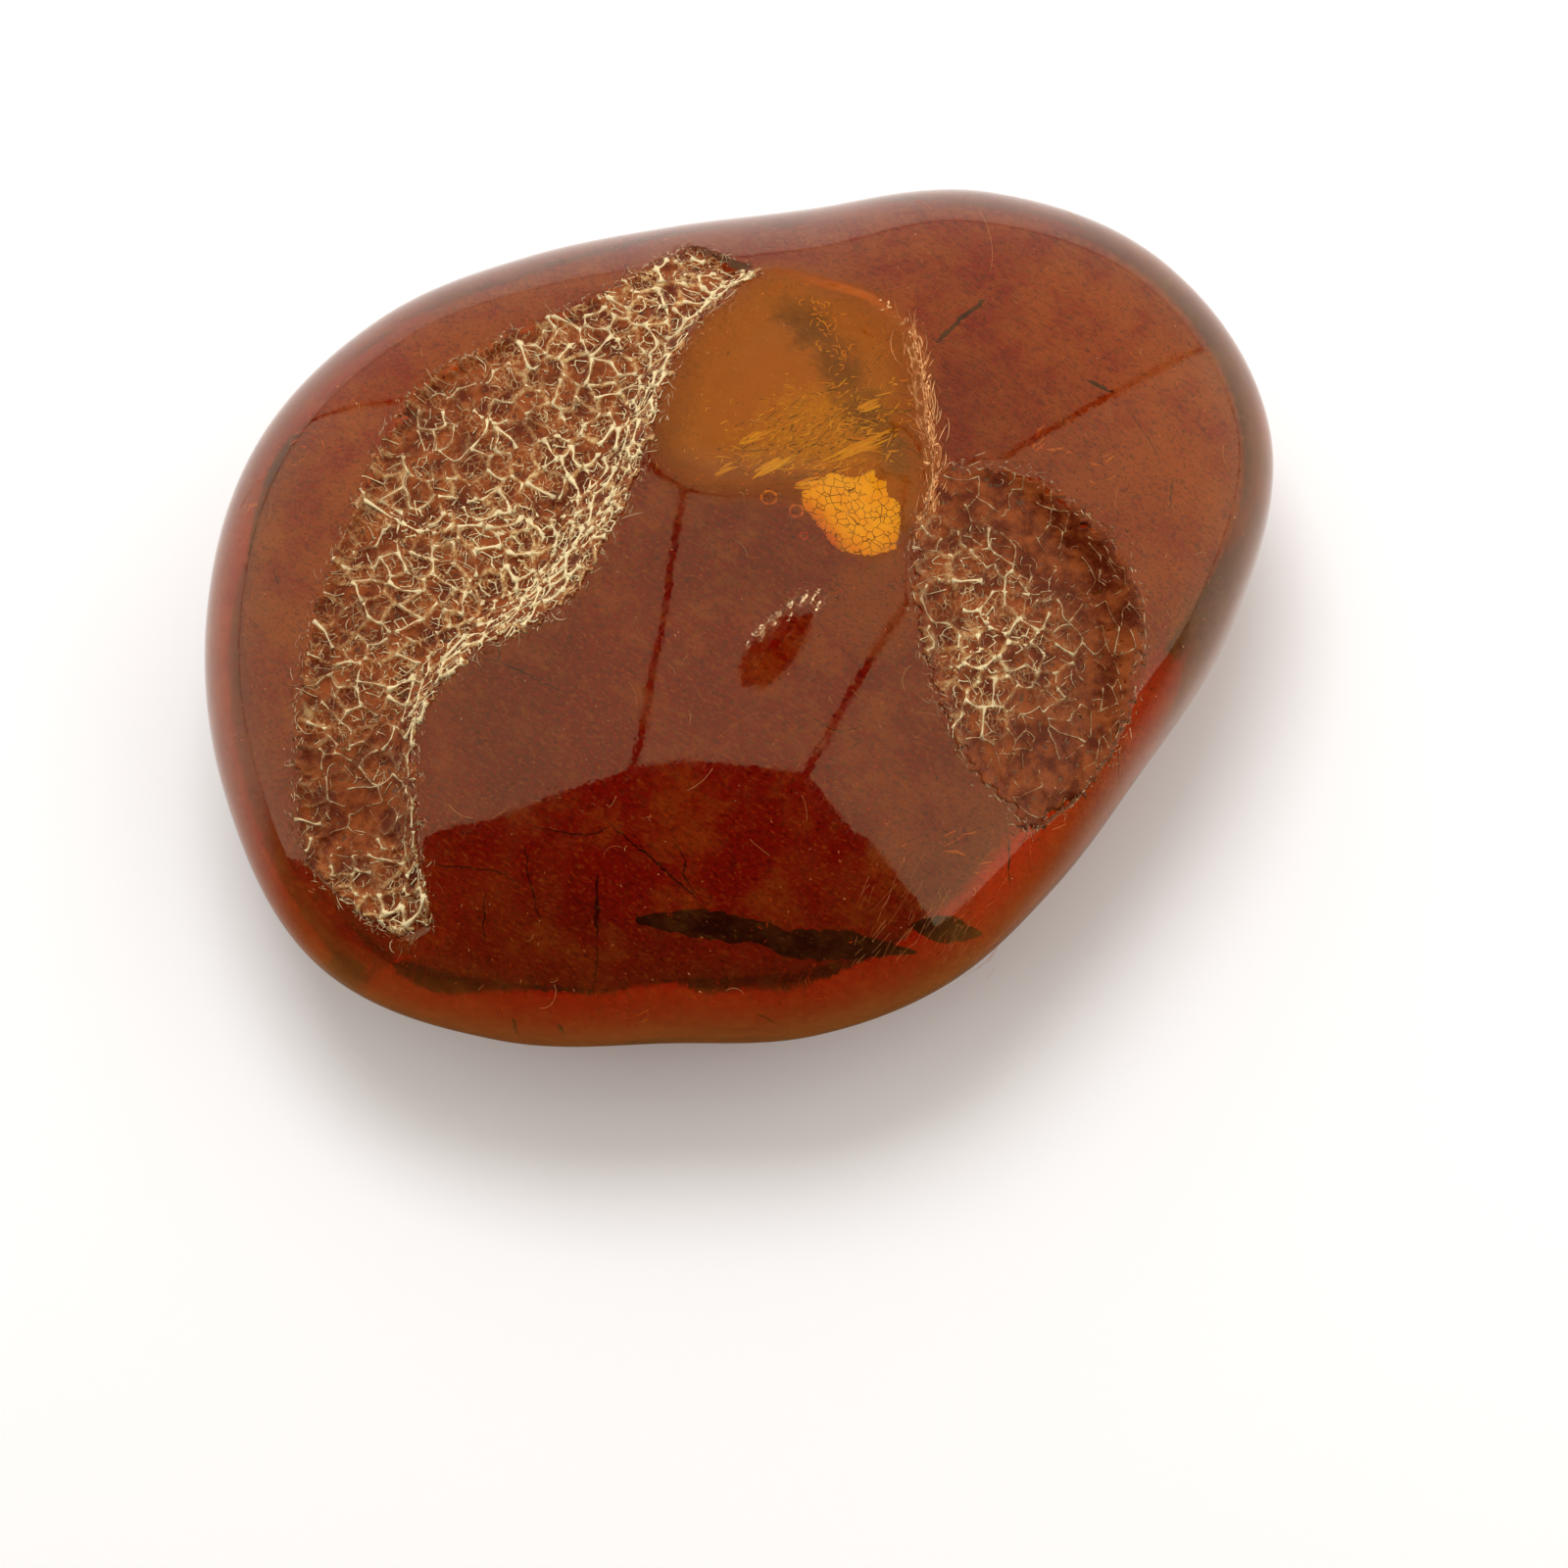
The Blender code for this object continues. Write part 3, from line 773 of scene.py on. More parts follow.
def alongPath(path, rng, count):  # random spots on a line, with the line's heading there
    path = np.array(path)
    runs = np.diff(path, axis=0)
    lengths = np.linalg.norm(runs, axis=1)
    pick = rng.choice(len(runs), count, p=lengths / lengths.sum())
    spots = path[pick] + runs[pick] * rng.uniform(size=(count, 1))
    return spots[:, 0], spots[:, 1], np.arctan2(runs[pick, 1], runs[pick, 0])


def addFuzz(strands, rng, path, count, kind):  # short threads lying along a line
    x, y, heading = alongPath(path, rng, count)
    x, y = (spot + rng.normal(0, spread, count) for spot, spread in zip((x, y), kind["spread"]))
    heading = heading + rng.normal(0, kind["turn"], count)
    start, end = (rng.uniform(0, most, (count, 1)) for most in kind["lift"])
    least, more = kind["length"]
    length = least + rng.exponential(more, count)
    lift = start + end * np.linspace(0, 1, 5)
    lines = threadLines(x, y, heading, length, rng.normal(0, 1.0, count), lift)
    thin = 0.020 * taper(5)
    width = thin * rng.uniform(*kind["uneven"], (count, 1))
    strands.add(lines, width, thin, None, rng.uniform(*kind["tone"], count))


def makeBorderFibres(material):
    rng, strands, kind = np.random.default_rng(21), Strands(), borderLook["fuzz"]
    for hollow, share in ((leftHollow, 0.68), (rightHollow, 0.32)):
        ring = ringOf(hollow)
        addFuzz(strands, rng, ring + ring[:1], int(kind["count"] * share), kind)
    addPiece("border_fibres", strands.mesh("border_fibres"), material)


def makeLintFinish():
    material, shader, place = startFinish("golden lint", Roughness=0.45, Specular_IOR_Level=0.2)
    feed(shader, Base_Color=named(place, "tone").tint(borderLook["lintDark"], borderLook["lintPale"]))
    return material


def makeLint(material):
    rng, strands, hairs = np.random.default_rng(31), Strands(), borderLook["hairlines"]
    scatterOverTop(strands, rng, borderLook["lint"])
    scatterOverTop(strands, rng, borderLook["dust"])
    x, y = (rng.uniform(*ends, hairs["count"]) for ends in zip(hairs["low"], hairs["high"]))
    heading = hairs["heading"] + rng.normal(0, hairs["turn"], hairs["count"])
    scatter(strands, rng, x, y, heading, hairs)
    addPiece("surface_lint", strands.mesh("surface_lint"), material)


def makeGrooveFibres(material):
    rng, strands = np.random.default_rng(23), Strands()
    fuzz, chipsAndGlints = borderLook["grooveFuzz"], borderLook["chipsAndGlints"]
    addFuzz(strands, rng, borderLook["groove"], fuzz["count"], fuzz)
    # partly real chips and partly painted glints along the ledge
    x, y, heading = alongPath(borderLook["ledge"], rng, chipsAndGlints["count"])
    x, y = (spot + rng.normal(0, chipsAndGlints["spread"], chipsAndGlints["count"]) for spot in (x, y))
    scatter(strands, rng, x, y, heading + rng.normal(0, chipsAndGlints["turn"], chipsAndGlints["count"]), chipsAndGlints)
    addPiece("groove_fibres", strands.mesh("groove_fibres"), material)


makeBorderFibres(fibreFinish)
lintFinish = makeLintFinish()
makeLint(lintFinish)
makeGrooveFibres(lintFinish)


# Bark slivers, with ragged edges and fibres, in place of their plain solids

barkLook = {
    "dark": (0.0015, 0.0010, 0.0010, 1),
    "pale": (0.010, 0.004, 0.002, 1),
    "roughness": 0.6,
    "height": 17.0,
    "halfThickness": 0.45,
    "raggedness": 0.26,
    "slivers": {
        "bark_sliver_long": {
            "spine": [(-6.8, -19.9), (-2.5, -20.1), (1.3, -20.7), (3.2, -21.5),
                      (6.7, -21.7), (11.5, -22.4)],
            "halfWidths": [0.45, 1.05, 0.80, 0.95, 1.10, 0.20],
        },
        "bark_sliver_short": {
            "spine": [(11.0, -20.5), (13.3, -20.9), (16.1, -21.7)],
            "halfWidths": [0.25, 1.00, 0.20],
        },
    },
}


def makeBarkFinish():
    material, shader, place = startFinish("charred bark", Specular_IOR_Level=0.03)
    fibres = place.stretch(0.25, 2.0, 2.0).grain(0.6, 4.0)
    feed(shader, Base_Color=fibres.ramp(0.5, 0.75).tint(barkLook["dark"], barkLook["pale"]),
         Roughness=fibres * 0.3 + barkLook["roughness"] - 0.15, Normal=place.bump(fibres * 1.5e-4))
    return material


def makeSliver(name, sliver, material):
    flake = bmesh.new()
    bmesh.ops.create_uvsphere(flake, u_segments=40, v_segments=120, radius=1.0)
    side, up, along = np.array([vertex.co for vertex in flake.verts]).T
    faces = [tuple(vertex.index for vertex in face.verts) for face in flake.faces]
    flake.free()
    last = len(sliver["spine"]) - 1
    place = (along + 1) / 2 * last
    index = np.minimum(np.floor(place).astype(int), last - 1)

    def read(values):
        values = np.asarray(values, float)
        near = (values[np.clip(index + step, 0, last)] for step in (-1, 0, 1, 2))
        return curveThrough(*near, place - index)

    x, y = read([spot[0] for spot in sliver["spine"]]), read([spot[1] for spot in sliver["spine"]])
    girth = np.sqrt(np.maximum(1.0 - along ** 2, 1e-4))
    spots = np.stack([x, y + 1.5 * np.sign(side), up * 0.4], 1)
    ragged = 1.0 + barkLook["raggedness"] * (noiseAt(spots, 0.9) + 0.7 * noiseAt(spots, 0.35))
    width = read(sliver["halfWidths"]) * ragged
    points = np.stack([x, y + side * girth ** -0.5 * width,
                       barkLook["height"] + up * girth ** -0.5 * barkLook["halfThickness"] * ragged], 1)
    piece = addPiece(name + "_ragged", meshFrom(name + "_ragged", points, faces), material)
    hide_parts(name)


barkFinish = makeBarkFinish()
for name, sliver in barkLook["slivers"].items():
    makeSliver(name, sliver, barkFinish)


# What shows under the window in the old skin: a honey-coloured sheet, a crackled gold patch, bright flakes

honeyLook = {
    "spacing": 0.22,
    "depth": 0.9,
    "thickness": 0.15,
    "honey": (0.68, 0.22, 0.025, 1),
    "gold": (0.86, 0.42, 0.012, 1),
    "smoke": (0.26, 0.045, 0.004, 1),
    # painted glints and sheen: the brightest gold
    "glintGold": (1.0, 0.66, 0.05, 1),
    "crackle": (0.14, 0.030, 0.003, 1),
    "smokeLine": [(4.0, 19.0), (5.8, 16.5), (7.5, 13.5), (9.5, 10.5), (11.0, 8.0)],
    "smokeReach": 2.2,
    "goldMiddle": (6.0, 10.0),
    "goldReach": (6.0, 3.2),
    "patch": smoothPath([(5.2, 6.0), (4.3, 5.1), (4.4, 4.1), (5.2, 3.0), (5.8, 2.2), (6.5, 1.3), (7.6, 0.9),
                         (8.9, 0.8), (10.1, 1.1), (10.7, 1.5), (10.9, 3.0), (10.9, 4.8), (10.2, 5.3),
                         (10.1, 6.3), (9.4, 6.5), (9.2, 7.2), (8.4, 6.8), (7.4, 6.5), (6.5, 6.8)], 3, True),
    "patchSpacing": 0.10,
    "patchDepth": 0.35,
    "patchThickness": 0.10,
    # painted sheen: the patch's bright gold stands in for light its fracture mirrors
    "patchSheen": (0.96, 0.50, 0.01, 1),
}


def makeHoneySheet():
    look, outline = honeyLook, dipShape["outline"]

    def keepAt(x, y):
        inward = inwardDistance(x, y, outline)
        keep = inward > 0.2
        keep[keep] = inward[keep] + 0.5 * flatNoise(x[keep], y[keep], 1.5) > 0.6
        return keep

    def heightsAt(x, y):
        ground = topAt(x, y) - look["depth"] + 0.12 * flatNoise(x, y, 1.2)
        show = smoothStep(inwardDistance(x, y, outline) / 4.0)
        smoke = np.exp(-(pathDistance(x, y, look["smokeLine"]) / look["smokeReach"]) ** 2)
        (middleX, middleY), (along, across) = look["goldMiddle"], look["goldReach"]
        sideways = (y - middleY - 0.25 * (x - middleX)) / across
        gold = np.exp(-(((x - middleX) / along) ** 2 + sideways ** 2))
        return ground, ground - look["thickness"], {"show": show, "smoke": smoke, "gold": gold}

    # painted light: the sheet glows faintly in its own colour
    material, shader, place = startFinish("honey sheet", Roughness=0.5, Specular_IOR_Level=0.1,
                                          Emission_Strength=0.06)
    show, smoke, gold = (named(place, name) for name in ("show", "smoke", "gold"))
    cloud = place.grain(1.8, 4.0, 0.65)
    speckle = place.turn(0, 0, 0.5).stretch(0.6, 1.6, 1.0).grain(0.28, 3.0, 0.7)
    golden = (gold + (cloud - 0.5) * 1.4 + (speckle - 0.5) * 1.4).ramp(0.20, 0.80)
    smoky = (smoke + (cloud - 0.5) * 1.5 + (speckle - 0.5) * 0.8).ramp(0.40, 1.1)
    # painted glints: bright gold flecks where the sheet is gold
    paintedGlints = speckle.ramp(0.58, 0.68) * gold.ramp(0.2, 0.8)
    colour = smoky.tint(golden.tint(look["honey"], look["gold"]), look["smoke"])
    colour = paintedGlints.tint(colour, look["glintGold"])
    feed(shader, Base_Color=colour, Alpha=(show + (cloud - 0.5) * 0.9).ramp(0.10, 0.9) * 0.85,
         Normal=place.bump(speckle * 2e-4), Emission_Color=colour)
    mesh = sheetMesh("honey_sheet", outline, look["spacing"], keepAt, heightsAt)
    addPiece("honey_sheet", mesh, material)


def makeGoldPatch():
    look, outline = honeyLook, honeyLook["patch"]

    def keepAt(x, y):
        return inwardDistance(x, y, outline) + 0.10 * flatNoise(x, y, 0.4) > 0.0

    def heightsAt(x, y):
        ground = topAt(x, y) - look["patchDepth"]
        return ground, ground - look["patchThickness"], {}

    # the crackle is the fracture's own; its bright gold sheen and its glow are painted reflection
    material, shader, place = startFinish("crackled gold", Roughness=0.35, Emission_Strength=0.24)
    bent = place.bend(0.8, 0.35)
    crackle = bent.cellEdge(0.58).ramp(0.050, 0.012) * place.grain(0.9, 2.0).ramp(0.36, 0.48)
    spots = place.grain(0.55, 3.0).ramp(0.66, 0.72)
    marks = crackle.calc("MAXIMUM", crackle, spots * 0.6)
    sheen = place.grain(1.6, 3.0).ramp(0.35, 0.7).tint(look["patchSheen"], look["glintGold"])
    colour = marks.tint(sheen, look["crackle"])
    feed(shader, Base_Color=colour, Normal=place.bump(crackle * -1.2e-4), Emission_Color=colour)
    mesh = sheetMesh("gold_patch", outline, look["patchSpacing"], keepAt, heightsAt)
    addPiece("gold_patch", mesh, material)


glint = {  # what the bright slivers and the dark ones have in common
    "middle": (5.6, 9.2), "reach": (3.6, 1.9), "tilt": 0.35, "heading": 0.45, "turn": 0.45,
    "steps": 4, "length": (0.15, 0.35), "tailed": True, "curl": 0.6, "depth": (0.28, 0.75),
    "end": 0.2, "uneven": (0.4, 1.6), "height": 0.02,
}
flakeLook = {
    "streaks": [((0.6, 6.0), (4.2, 8.1), 0.50), ((7.9, 11.3), (10.2, 12.4), 0.34),
                ((4.6, 6.9), (10.9, 10.4), 0.22), ((0.0, 8.7), (2.4, 10.0), 0.26),
                ((3.2, 5.3), (6.4, 6.4), 0.32), ((6.4, 7.7), (10.6, 9.4), 0.20),
                ((-1.6, 6.2), (0.4, 7.4), 0.22)],  # from, to, half breadth
    "streakFlakes": 9,
    "glints": {**glint, "count": 420, "width": 0.045, "tone": (0.3, 1.1), "sides": 4},
    "clusters": [([(-29.0, 10.8), (-28.0, 10.3), (-30.3, 11.4)], 0.5, 9), ([(19.8, 9.0)], 0.35, 8),
                 ([(23.3, 8.0), (24.5, 7.6)], 0.5, 6), ([(-34.0, 6.6), (-31.0, 9.5)], 0.3, 8),
                 ([(13.6, -17.7), (16.0, -18.5), (15.0, -16.5)], 0.5, 9),
                 ([(-6.7, -28.2)], 0.25, 4)],  # spots, how far they spread, how many
    "clustered": {"steps": 5, "length": (0.3, 1.4), "curl": 0.5, "depth": (0.5, 1.2), "width": 0.06,
                  "end": 0.2, "uneven": (0.5, 1.6), "height": 0.03, "tone": (0.4, 1.0), "sides": 4},
    # bubbles drawn only as their bright rims: painted reflection
    "bubbleGlints": [(2.2, 4.7, 0.55), (4.0, 3.8, 0.48), (4.5, 2.1, 0.28)],
    "crumbSpots": [(5.5, 19.3, 0.9), (6.2, 17.4, 1.0), (7.0, 15.5, 0.8)],
    "crumbs": {"count": 16, "steps": 7, "length": (0.2, 0.9), "curl": 3.0, "depth": (0.35, 0.7),
               "width": 0.045, "uneven": (0.6, 1.4), "height": 0.03, "tone": (0.1, 0.6), "sides": 4},
    "specks": {"count": 900, "steps": 3, "length": (0.08, 0.40), "curl": 0.8, "depth": (0.3, 3.0),
               "width": 0.05, "uneven": (0.5, 1.4), "height": 0.02, "tone": (0.0, 0.7)},
    "dark": (0.80, 0.20, 0.02, 1),
    "pale": (1.0, 0.62, 0.04, 1),
}


def scatterGlints(strands, rng, kind):  # short slivers in the middle of the window
    along, across = (rng.normal(0, reach, kind["count"]) for reach in kind["reach"])
    turnX, turnY = math.cos(kind["tilt"]), math.sin(kind["tilt"])
    x = kind["middle"][0] + along * turnX - across * turnY
    y = kind["middle"][1] + along * turnY + across * turnX
    kept = inwardDistance(x, y, dipShape["outline"]) > 1.2
    x, y = x[kept], y[kept]
    scatter(strands, rng, x, y, kind["heading"] + rng.normal(0, kind["turn"], len(x)), kind)


def makeFlakes():
    rng, strands, look = np.random.default_rng(41), Strands(), flakeLook
    for (x1, y1), (x2, y2), half in look["streaks"]:
        count = look["streakFlakes"]
        offset = rng.normal(0, half * 0.45, count)
        length = math.hypot(x2 - x1, y2 - y1)
        heading = math.atan2(y2 - y1, x2 - x1)
        start = rng.uniform(0.0, 0.35, count) * length
        run = rng.uniform(0.35, 0.65, count) * length
        x = x1 + np.cos(heading) * start - np.sin(heading) * offset
        y = y1 + np.sin(heading) * start + np.cos(heading) * offset
        turned, curl = heading + rng.normal(0, 0.08, count), rng.normal(0, 0.25, count)
        lines = threadLines(x, y, turned, run, curl, -rng.uniform(0.28, 0.50, (count, 1)), 9)
        width = half * 0.34 * taper(9, 0.1) * rng.uniform(0.6, 1.3, (count, 9))
        strands.add(lines, width, 0.03, None, rng.uniform(0.5, 1.1, count), 4)
    scatterGlints(strands, rng, look["glints"])
    for spots, size, count in look["clusters"]:
        spots = np.array(spots)[rng.integers(0, len(spots), count)] + rng.normal(0, size, (count, 2))
        scatter(strands, rng, *spots.T, 0.2 + rng.normal(0, 0.5, count), look["clustered"])
    # each bubble's bright rim, as rings of flakes: painted reflection
    for x, y, size in look["bubbleGlints"]:
        for ring in (1.0, 0.86):
            angle = math.tau * np.arange(14) / 13
            circleX = x + size * ring * np.cos(angle)
            circleY = y + size * ring * np.sin(angle) * 0.9
            lines = np.stack([circleX, circleY, topAt(circleX, circleY) - 0.45], -1)[None]
            strands.add(lines, 0.035 * (1.2 + np.sin(angle * 5 + size * 9)), 0.03, None, 0.5, 4)
    for x, y, reach in look["crumbSpots"]:
        count = look["crumbs"]["count"]
        heading = rng.uniform(0, math.tau, count)
        x, y = x + rng.normal(0, reach * 0.5, count), y + rng.normal(0, reach * 0.6, count)
        scatter(strands, rng, x, y, heading, look["crumbs"])
    scatterOverTop(strands, rng, look["specks"])
    # painted light: the flakes glow in their own colour, so the gold fissures and glints shine
    material, shader, place = startFinish("inner flakes", Roughness=0.3, Emission_Strength=0.12)
    tone = named(place, "tone")
    grained = tone + (place.turn(0, 0, 0.5).stretch(0.4, 2.0, 1.0).grain(0.3, 2.0) - 0.5) * 0.5
    colour = grained.tint(look["dark"], look["pale"])
    feed(shader, Base_Color=colour, Emission_Color=colour)
    addPiece("inner_flakes", strands.mesh("inner_flakes"), material)


makeHoneySheet()
makeGoldPatch()
makeFlakes()


# Dark cracks, standing on edge just under the polish

crackLook = {
    "dark": (0.035, 0.004, 0.002, 1),
    "pale": (0.14, 0.02, 0.005, 1),
    "lines": [  # points, half thickness, depth
        ([(-9.1, -19.6), (-9.2, -21.8), (-9.2, -23.4)], 0.16, 0.9),
        ([(-9.2, -23.4), (-9.4, -26.5)], 0.05, 0.5),
        ([(-8.2, -16.5), (-6.7, -17.8), (-5.2, -19.0), (-3.6, -20.3), (-2.5, -21.2)], 0.07, 0.8),
        ([(-4.2, -17.2), (-3.3, -18.9), (-3.4, -19.7), (-2.5, -21.1)], 0.06, 0.6),
        ([(-14.0, -17.7), (-13.5, -20.5), (-12.9, -22.7)], 0.07, 0.6),
        ([(-16.7, -20.4), (-16.8, -23.7)], 0.06, 0.6),
        ([(-20.9, -18.7), (-15.9, -19.3), (-14.3, -20.4)], 0.05, 0.5),
        ([(-13.5, -16.6), (-9.9, -17.2), (-8.3, -16.7)], 0.06, 0.5),
        ([(18.1, -16.0), (18.4, -19.6)], 0.05, 0.8),
        ([(16.9, 19.7), (15.1, 18.1), (13.4, 16.2)], 0.20, 0.8),
        ([(23.6, 14.2), (25.4, 13.5)], 0.16, 0.5),
        ([(-15.7, -4.3), (-15.6, -5.9)], 0.08, 0.5),
        ([(-17.9, -5.4), (-15.6, -5.8), (-13.0, -7.2), (-10.6, -8.2)], 0.05, 0.5),
        ([(-15.1, -28.3), (-15.0, -29.3)], 0.22, 0.5),
        ([(-12.1, -28.6), (-11.8, -29.3)], 0.15, 0.5),
        ([(1.3, -28.0), (2.8, -28.6)], 0.07, 0.4),
        ([(29.6, 8.0), (29.2, 5.6)], 0.05, 0.6),
        ([(26.5, 12.4), (28.6, 9.2)], 0.04, 0.8),
        ([(5.0, -9.8), (6.5, -10.6), (8.2, -10.4)], 0.04, 0.4),
        ([(-31.5, 2.0), (-31.0, 0.5)], 0.05, 0.4),
    ],
    "specks": {"count": 320, "steps": 4, "length": (0.10, 0.55), "curl": 1.2, "depth": (0.25, 2.0),
               "width": 0.04, "uneven": (0.5, 1.5), "height": 0.03},
    "glints": {**glint, "count": 260, "width": 0.030},
}


def makeCracks():
    rng, strands, look = np.random.default_rng(51), Strands(), crackLook
    for points, half, depth in look["lines"]:
        path = np.array(smoothPath(points, 8))
        path += rng.normal(0, 0.05, path.shape)
        x, y = path[None, :, 0], path[None, :, 1]
        width = half * taper(len(path), 0.12) * rng.uniform(0.5, 1.3, len(path))
        lines = np.stack([x, y, topAt(x, y) - 0.30 - depth / 2], -1)
        strands.add(lines, width, depth / 2 * taper(len(path)), None, 0.5, 4)
    scatterOverTop(strands, rng, look["specks"])
    scatterGlints(strands, rng, look["glints"])
    material, shader, place = startFinish("dark cracks", Roughness=0.6, Specular_IOR_Level=0.1)
    feed(shader, Base_Color=place.grain(0.6, 3.0).ramp(0.35, 0.7).tint(look["dark"], look["pale"]))
    addPiece("inner_cracks", strands.mesh("inner_cracks"), material)


makeCracks()


# The room: a white table in a light tent that is open at the front

roomLook = {
    "height": 420.0,  # of the tent's ceiling; the sheets' corners are given in parts of it
    "sheets": {  # radiance, upper corners, lower corners
        "ceiling": (1.25, [(-0.30, -0.36, 1.0), (-0.24, 0.58, 1.0)],
                    [(0.29, -0.43, 1.0), (0.45, -0.16, 1.0), (0.50, 0.0, 1.0), (0.53, 0.40, 1.0)]),
        "left wall": (1.25, [(-0.265, 0.59, 0.99), (-0.325, -0.35, 0.99)],
                      [(-0.75, 0.66, 0.01), (-0.85, -0.28, 0.01)]),
        "right wall": (1.30, [(0.315, -0.44, 0.99), (0.475, -0.17, 0.99),
                              (0.525, 0.0, 0.99), (0.55, 0.40, 0.99)],
                       [(0.57, -0.72, 0.01), (0.78, -0.40, 0.01), (0.82, 0.0, 0.01), (0.76, 0.60, 0.01)]),
        "back wall": (0.95, [(-0.24, 0.60, 0.99), (0.54, 0.42, 0.99)],
                      [(-0.74, 0.67, 0.01), (0.75, 0.61, 0.01)]),
        "hole": (0.0, [(0.02, -0.11, 0.97), (0.005, -0.04, 0.97), (0.05, 0.04, 0.97), (0.13, 0.10, 0.97)],
                 [(0.12, -0.12, 0.97), (0.20, -0.06, 0.97), (0.25, 0.02, 0.97), (0.24, 0.08, 0.97)]),
    },
    "lamps": [(0.03, 0.03), (0.05, 0.055), (0.075, 0.075), (0.10, 0.09), (0.13, 0.105), (0.16, 0.115),
              (0.19, 0.115), (0.22, 0.105), (0.245, 0.085), (0.08, 0.05), (0.12, 0.08),
              (0.17, 0.09)],  # small and bright, in front of the hole
    "lampGlow": 36.0,
    "lampSize": 0.006,
    "key": {"spot": (-0.08, 0.44, 0.93), "size": 0.50, "radiance": 11.8, "warmth": (0.97, 1.0, 1.04)},
    "front": (0.03, 0.03, 0.03, 1),  # what is outside the tent
    "beyond": (0.9, 0.9, 0.9, 1),  # what the stone's inside sees there
    "warmth": (1.0, 0.93, 0.86),
    "tableSize": 760.0,
    "tableDrop": 0.06,
    "tableColour": (0.88, 0.89, 0.90, 1),
    "tableShadeInPolish": (0.20, 0.11, 0.03, 1),  # painted shade: the table's front, darker and warmer only as the polish mirrors it
    "tableGlow": (0.0, 0.0, 0.0, 1),
    "tableUnderStone": (0.11, 0.11, 0.11, 1),  # a glow seen through the stone only
    "cameraElevation": 80.0,
    "cameraDistance": 260.0,
    "viewAcross": 109.44,  # how many millimetres the picture spans at the target
    "target": (3.2, -11.46, 14.0),
}


def placeAt(thing, spot):
    thing.location = (np.asarray(spot, float) - middle) * mm


def addSheet(name, radiance, points, faces):  # a glowing sheet of the tent
    mesh = meshFrom(name, np.array(points) * roomLook["height"], faces, False)
    sheet = bpy.data.objects.new(name, mesh)
    bpy.context.scene.collection.objects.link(sheet)
    material = bpy.data.materials.new(name)
    material.use_nodes = True
    tree = material.node_tree
    glow = Wire(tree).node("Emission", None, {"Color": (*roomLook["warmth"], 1), "Strength": radiance})
    tree.links.new(glow.socket, tree.nodes["Material Output"].inputs["Surface"])
    mesh.materials.append(material)
    sheet.visible_camera = False


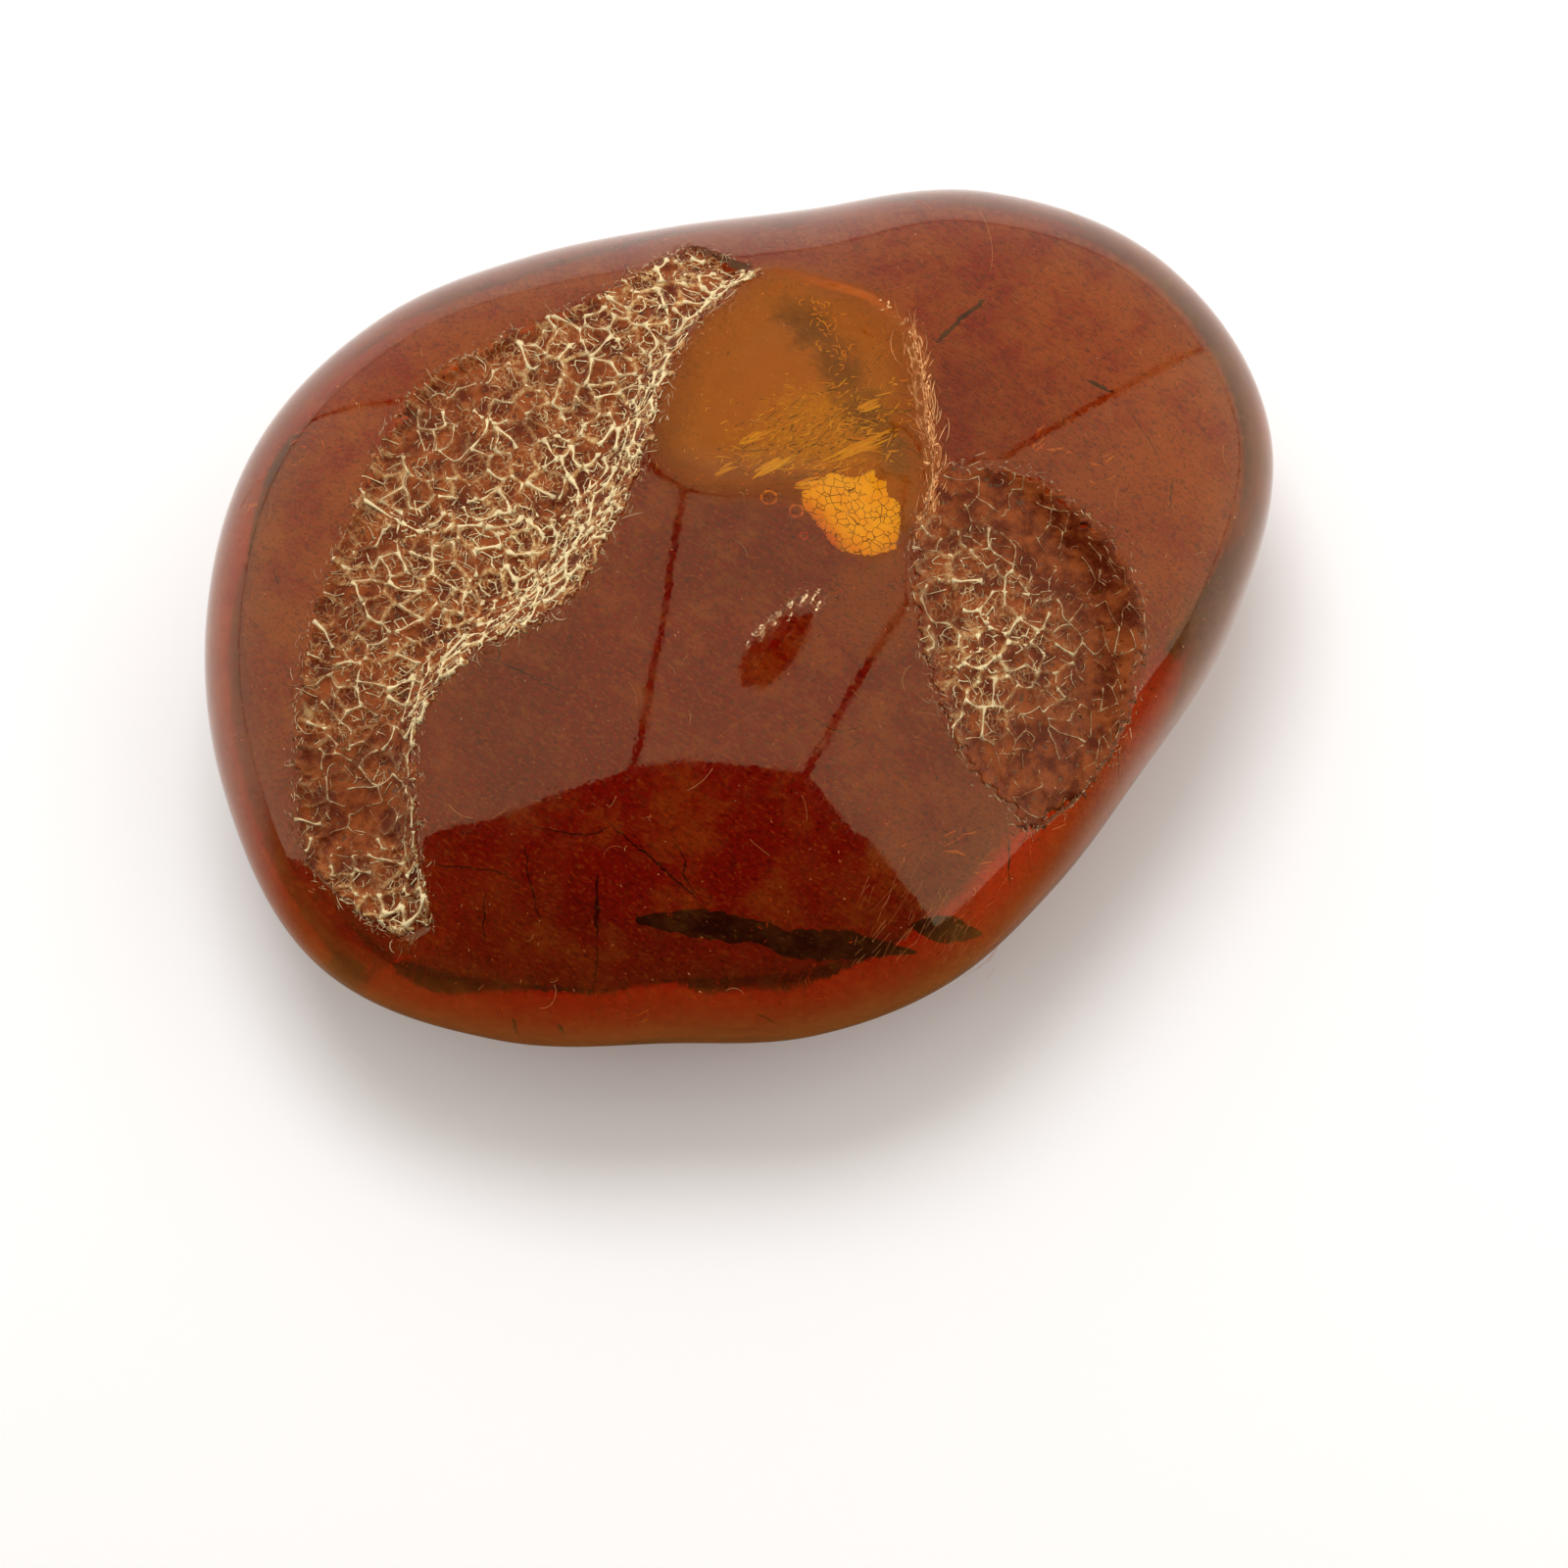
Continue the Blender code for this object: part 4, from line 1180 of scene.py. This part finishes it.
def makeRoom():
    room = roomLook
    high = room["height"]
    for name, (radiance, upper, lower) in room["sheets"].items():
        corners = upper + lower[::-1]
        if len(upper) == len(lower):
            row = len(upper)
            faces = [(step, step + 1, 2 * row - 2 - step, 2 * row - 1 - step) for step in range(row - 1)]
        else:
            faces = [tuple(range(len(corners)))]
        addSheet(name, radiance, corners, faces)
    spots, faces, half = [], [], room["lampSize"]
    for x, y in room["lamps"]:
        faces.append(tuple(range(len(spots), len(spots) + 4)))
        spots += [(x + half * a, y + half * b, 0.96) for a, b in ((-1, 0), (0, -1), (1, 0), (0, 1))]
    addSheet("lamps", room["lampGlow"], spots, faces)

    light = bpy.data.lights.new("key", "AREA")  # seen by no reflection
    light.shape = "DISK"
    light.size = room["key"]["size"] * high * mm
    light.color = room["key"]["warmth"]
    light.energy = room["key"]["radiance"] * math.pi * math.pi / 4 * light.size ** 2
    key = bpy.data.objects.new("key", light)
    bpy.context.scene.collection.objects.link(key)
    placeAt(key, np.array(room["key"]["spot"]) * high)
    key.rotation_euler = Vector(room["key"]["spot"]).to_track_quat("Z", "Y").to_euler()
    key.visible_camera = key.visible_glossy = key.visible_transmission = False

    bpy.ops.mesh.primitive_plane_add(size=room["tableSize"] * mm, location=(0, 0, -room["tableDrop"] * mm))
    table = bpy.context.active_object
    table.name = "table"
    material, shader, place = startFinish("white table", Roughness=0.9, Emission_Strength=1.0)
    across, along = (place.node("SeparateXYZ", None, {0: place}, axis) for axis in (0, 1))
    front = (along + across.calc("ABSOLUTE", across) * 0.15).ramp(5.0, -30.0)
    # painted shade: the table's front turns dark and warm only in reflections
    polishShade = place.node("LightPath", output="Is Glossy Ray") * front
    through = place.node("LightPath", output="Is Transmission Ray")
    feed(shader, Base_Color=polishShade.tint(room["tableColour"], room["tableShadeInPolish"]),
         Emission_Color=through.tint(room["tableGlow"], room["tableUnderStone"]))
    table.data.materials.append(material)

    world = bpy.data.worlds.new("room")
    world.use_nodes = True
    tree = world.node_tree
    wire = Wire(tree)
    seen = wire.node("LightPath", output="Is Camera Ray")
    through = wire.node("LightPath", output="Is Transmission Ray")
    dim = wire.node("Background", None, {"Color": through.tint(room["front"], room["beyond"])})
    white = wire.node("Background", None, {"Color": (1, 1, 1, 1)})
    both = wire.node("MixShader", None, {0: seen, 1: dim, 2: white})
    tree.links.new(both.socket, tree.nodes["World Output"].inputs["Surface"])
    bpy.context.scene.world = world


def makeCamera():
    data = bpy.data.cameras.new("camera")
    camera = bpy.data.objects.new("camera", data)
    bpy.context.scene.collection.objects.link(camera)
    tilt, distance = math.radians(roomLook["cameraElevation"]), roomLook["cameraDistance"]
    target = np.array(roomLook["target"])
    placeAt(camera, target + distance * np.array([0, -math.cos(tilt), math.sin(tilt)]))
    camera.rotation_euler = (math.pi / 2 - tilt, 0, 0)
    data.sensor_width = 36.0
    data.lens = data.sensor_width * distance / roomLook["viewAcross"]
    data.clip_start = 0.01
    bpy.context.scene.camera = camera


makeRoom()
makeCamera()
scene = bpy.context.scene
scene.view_settings.view_transform = "Standard"
scene.cycles.max_bounces = 6
scene.cycles.diffuse_bounces = 2
scene.cycles.glossy_bounces = 4
scene.cycles.transmission_bounces = 6
print("room and camera made")
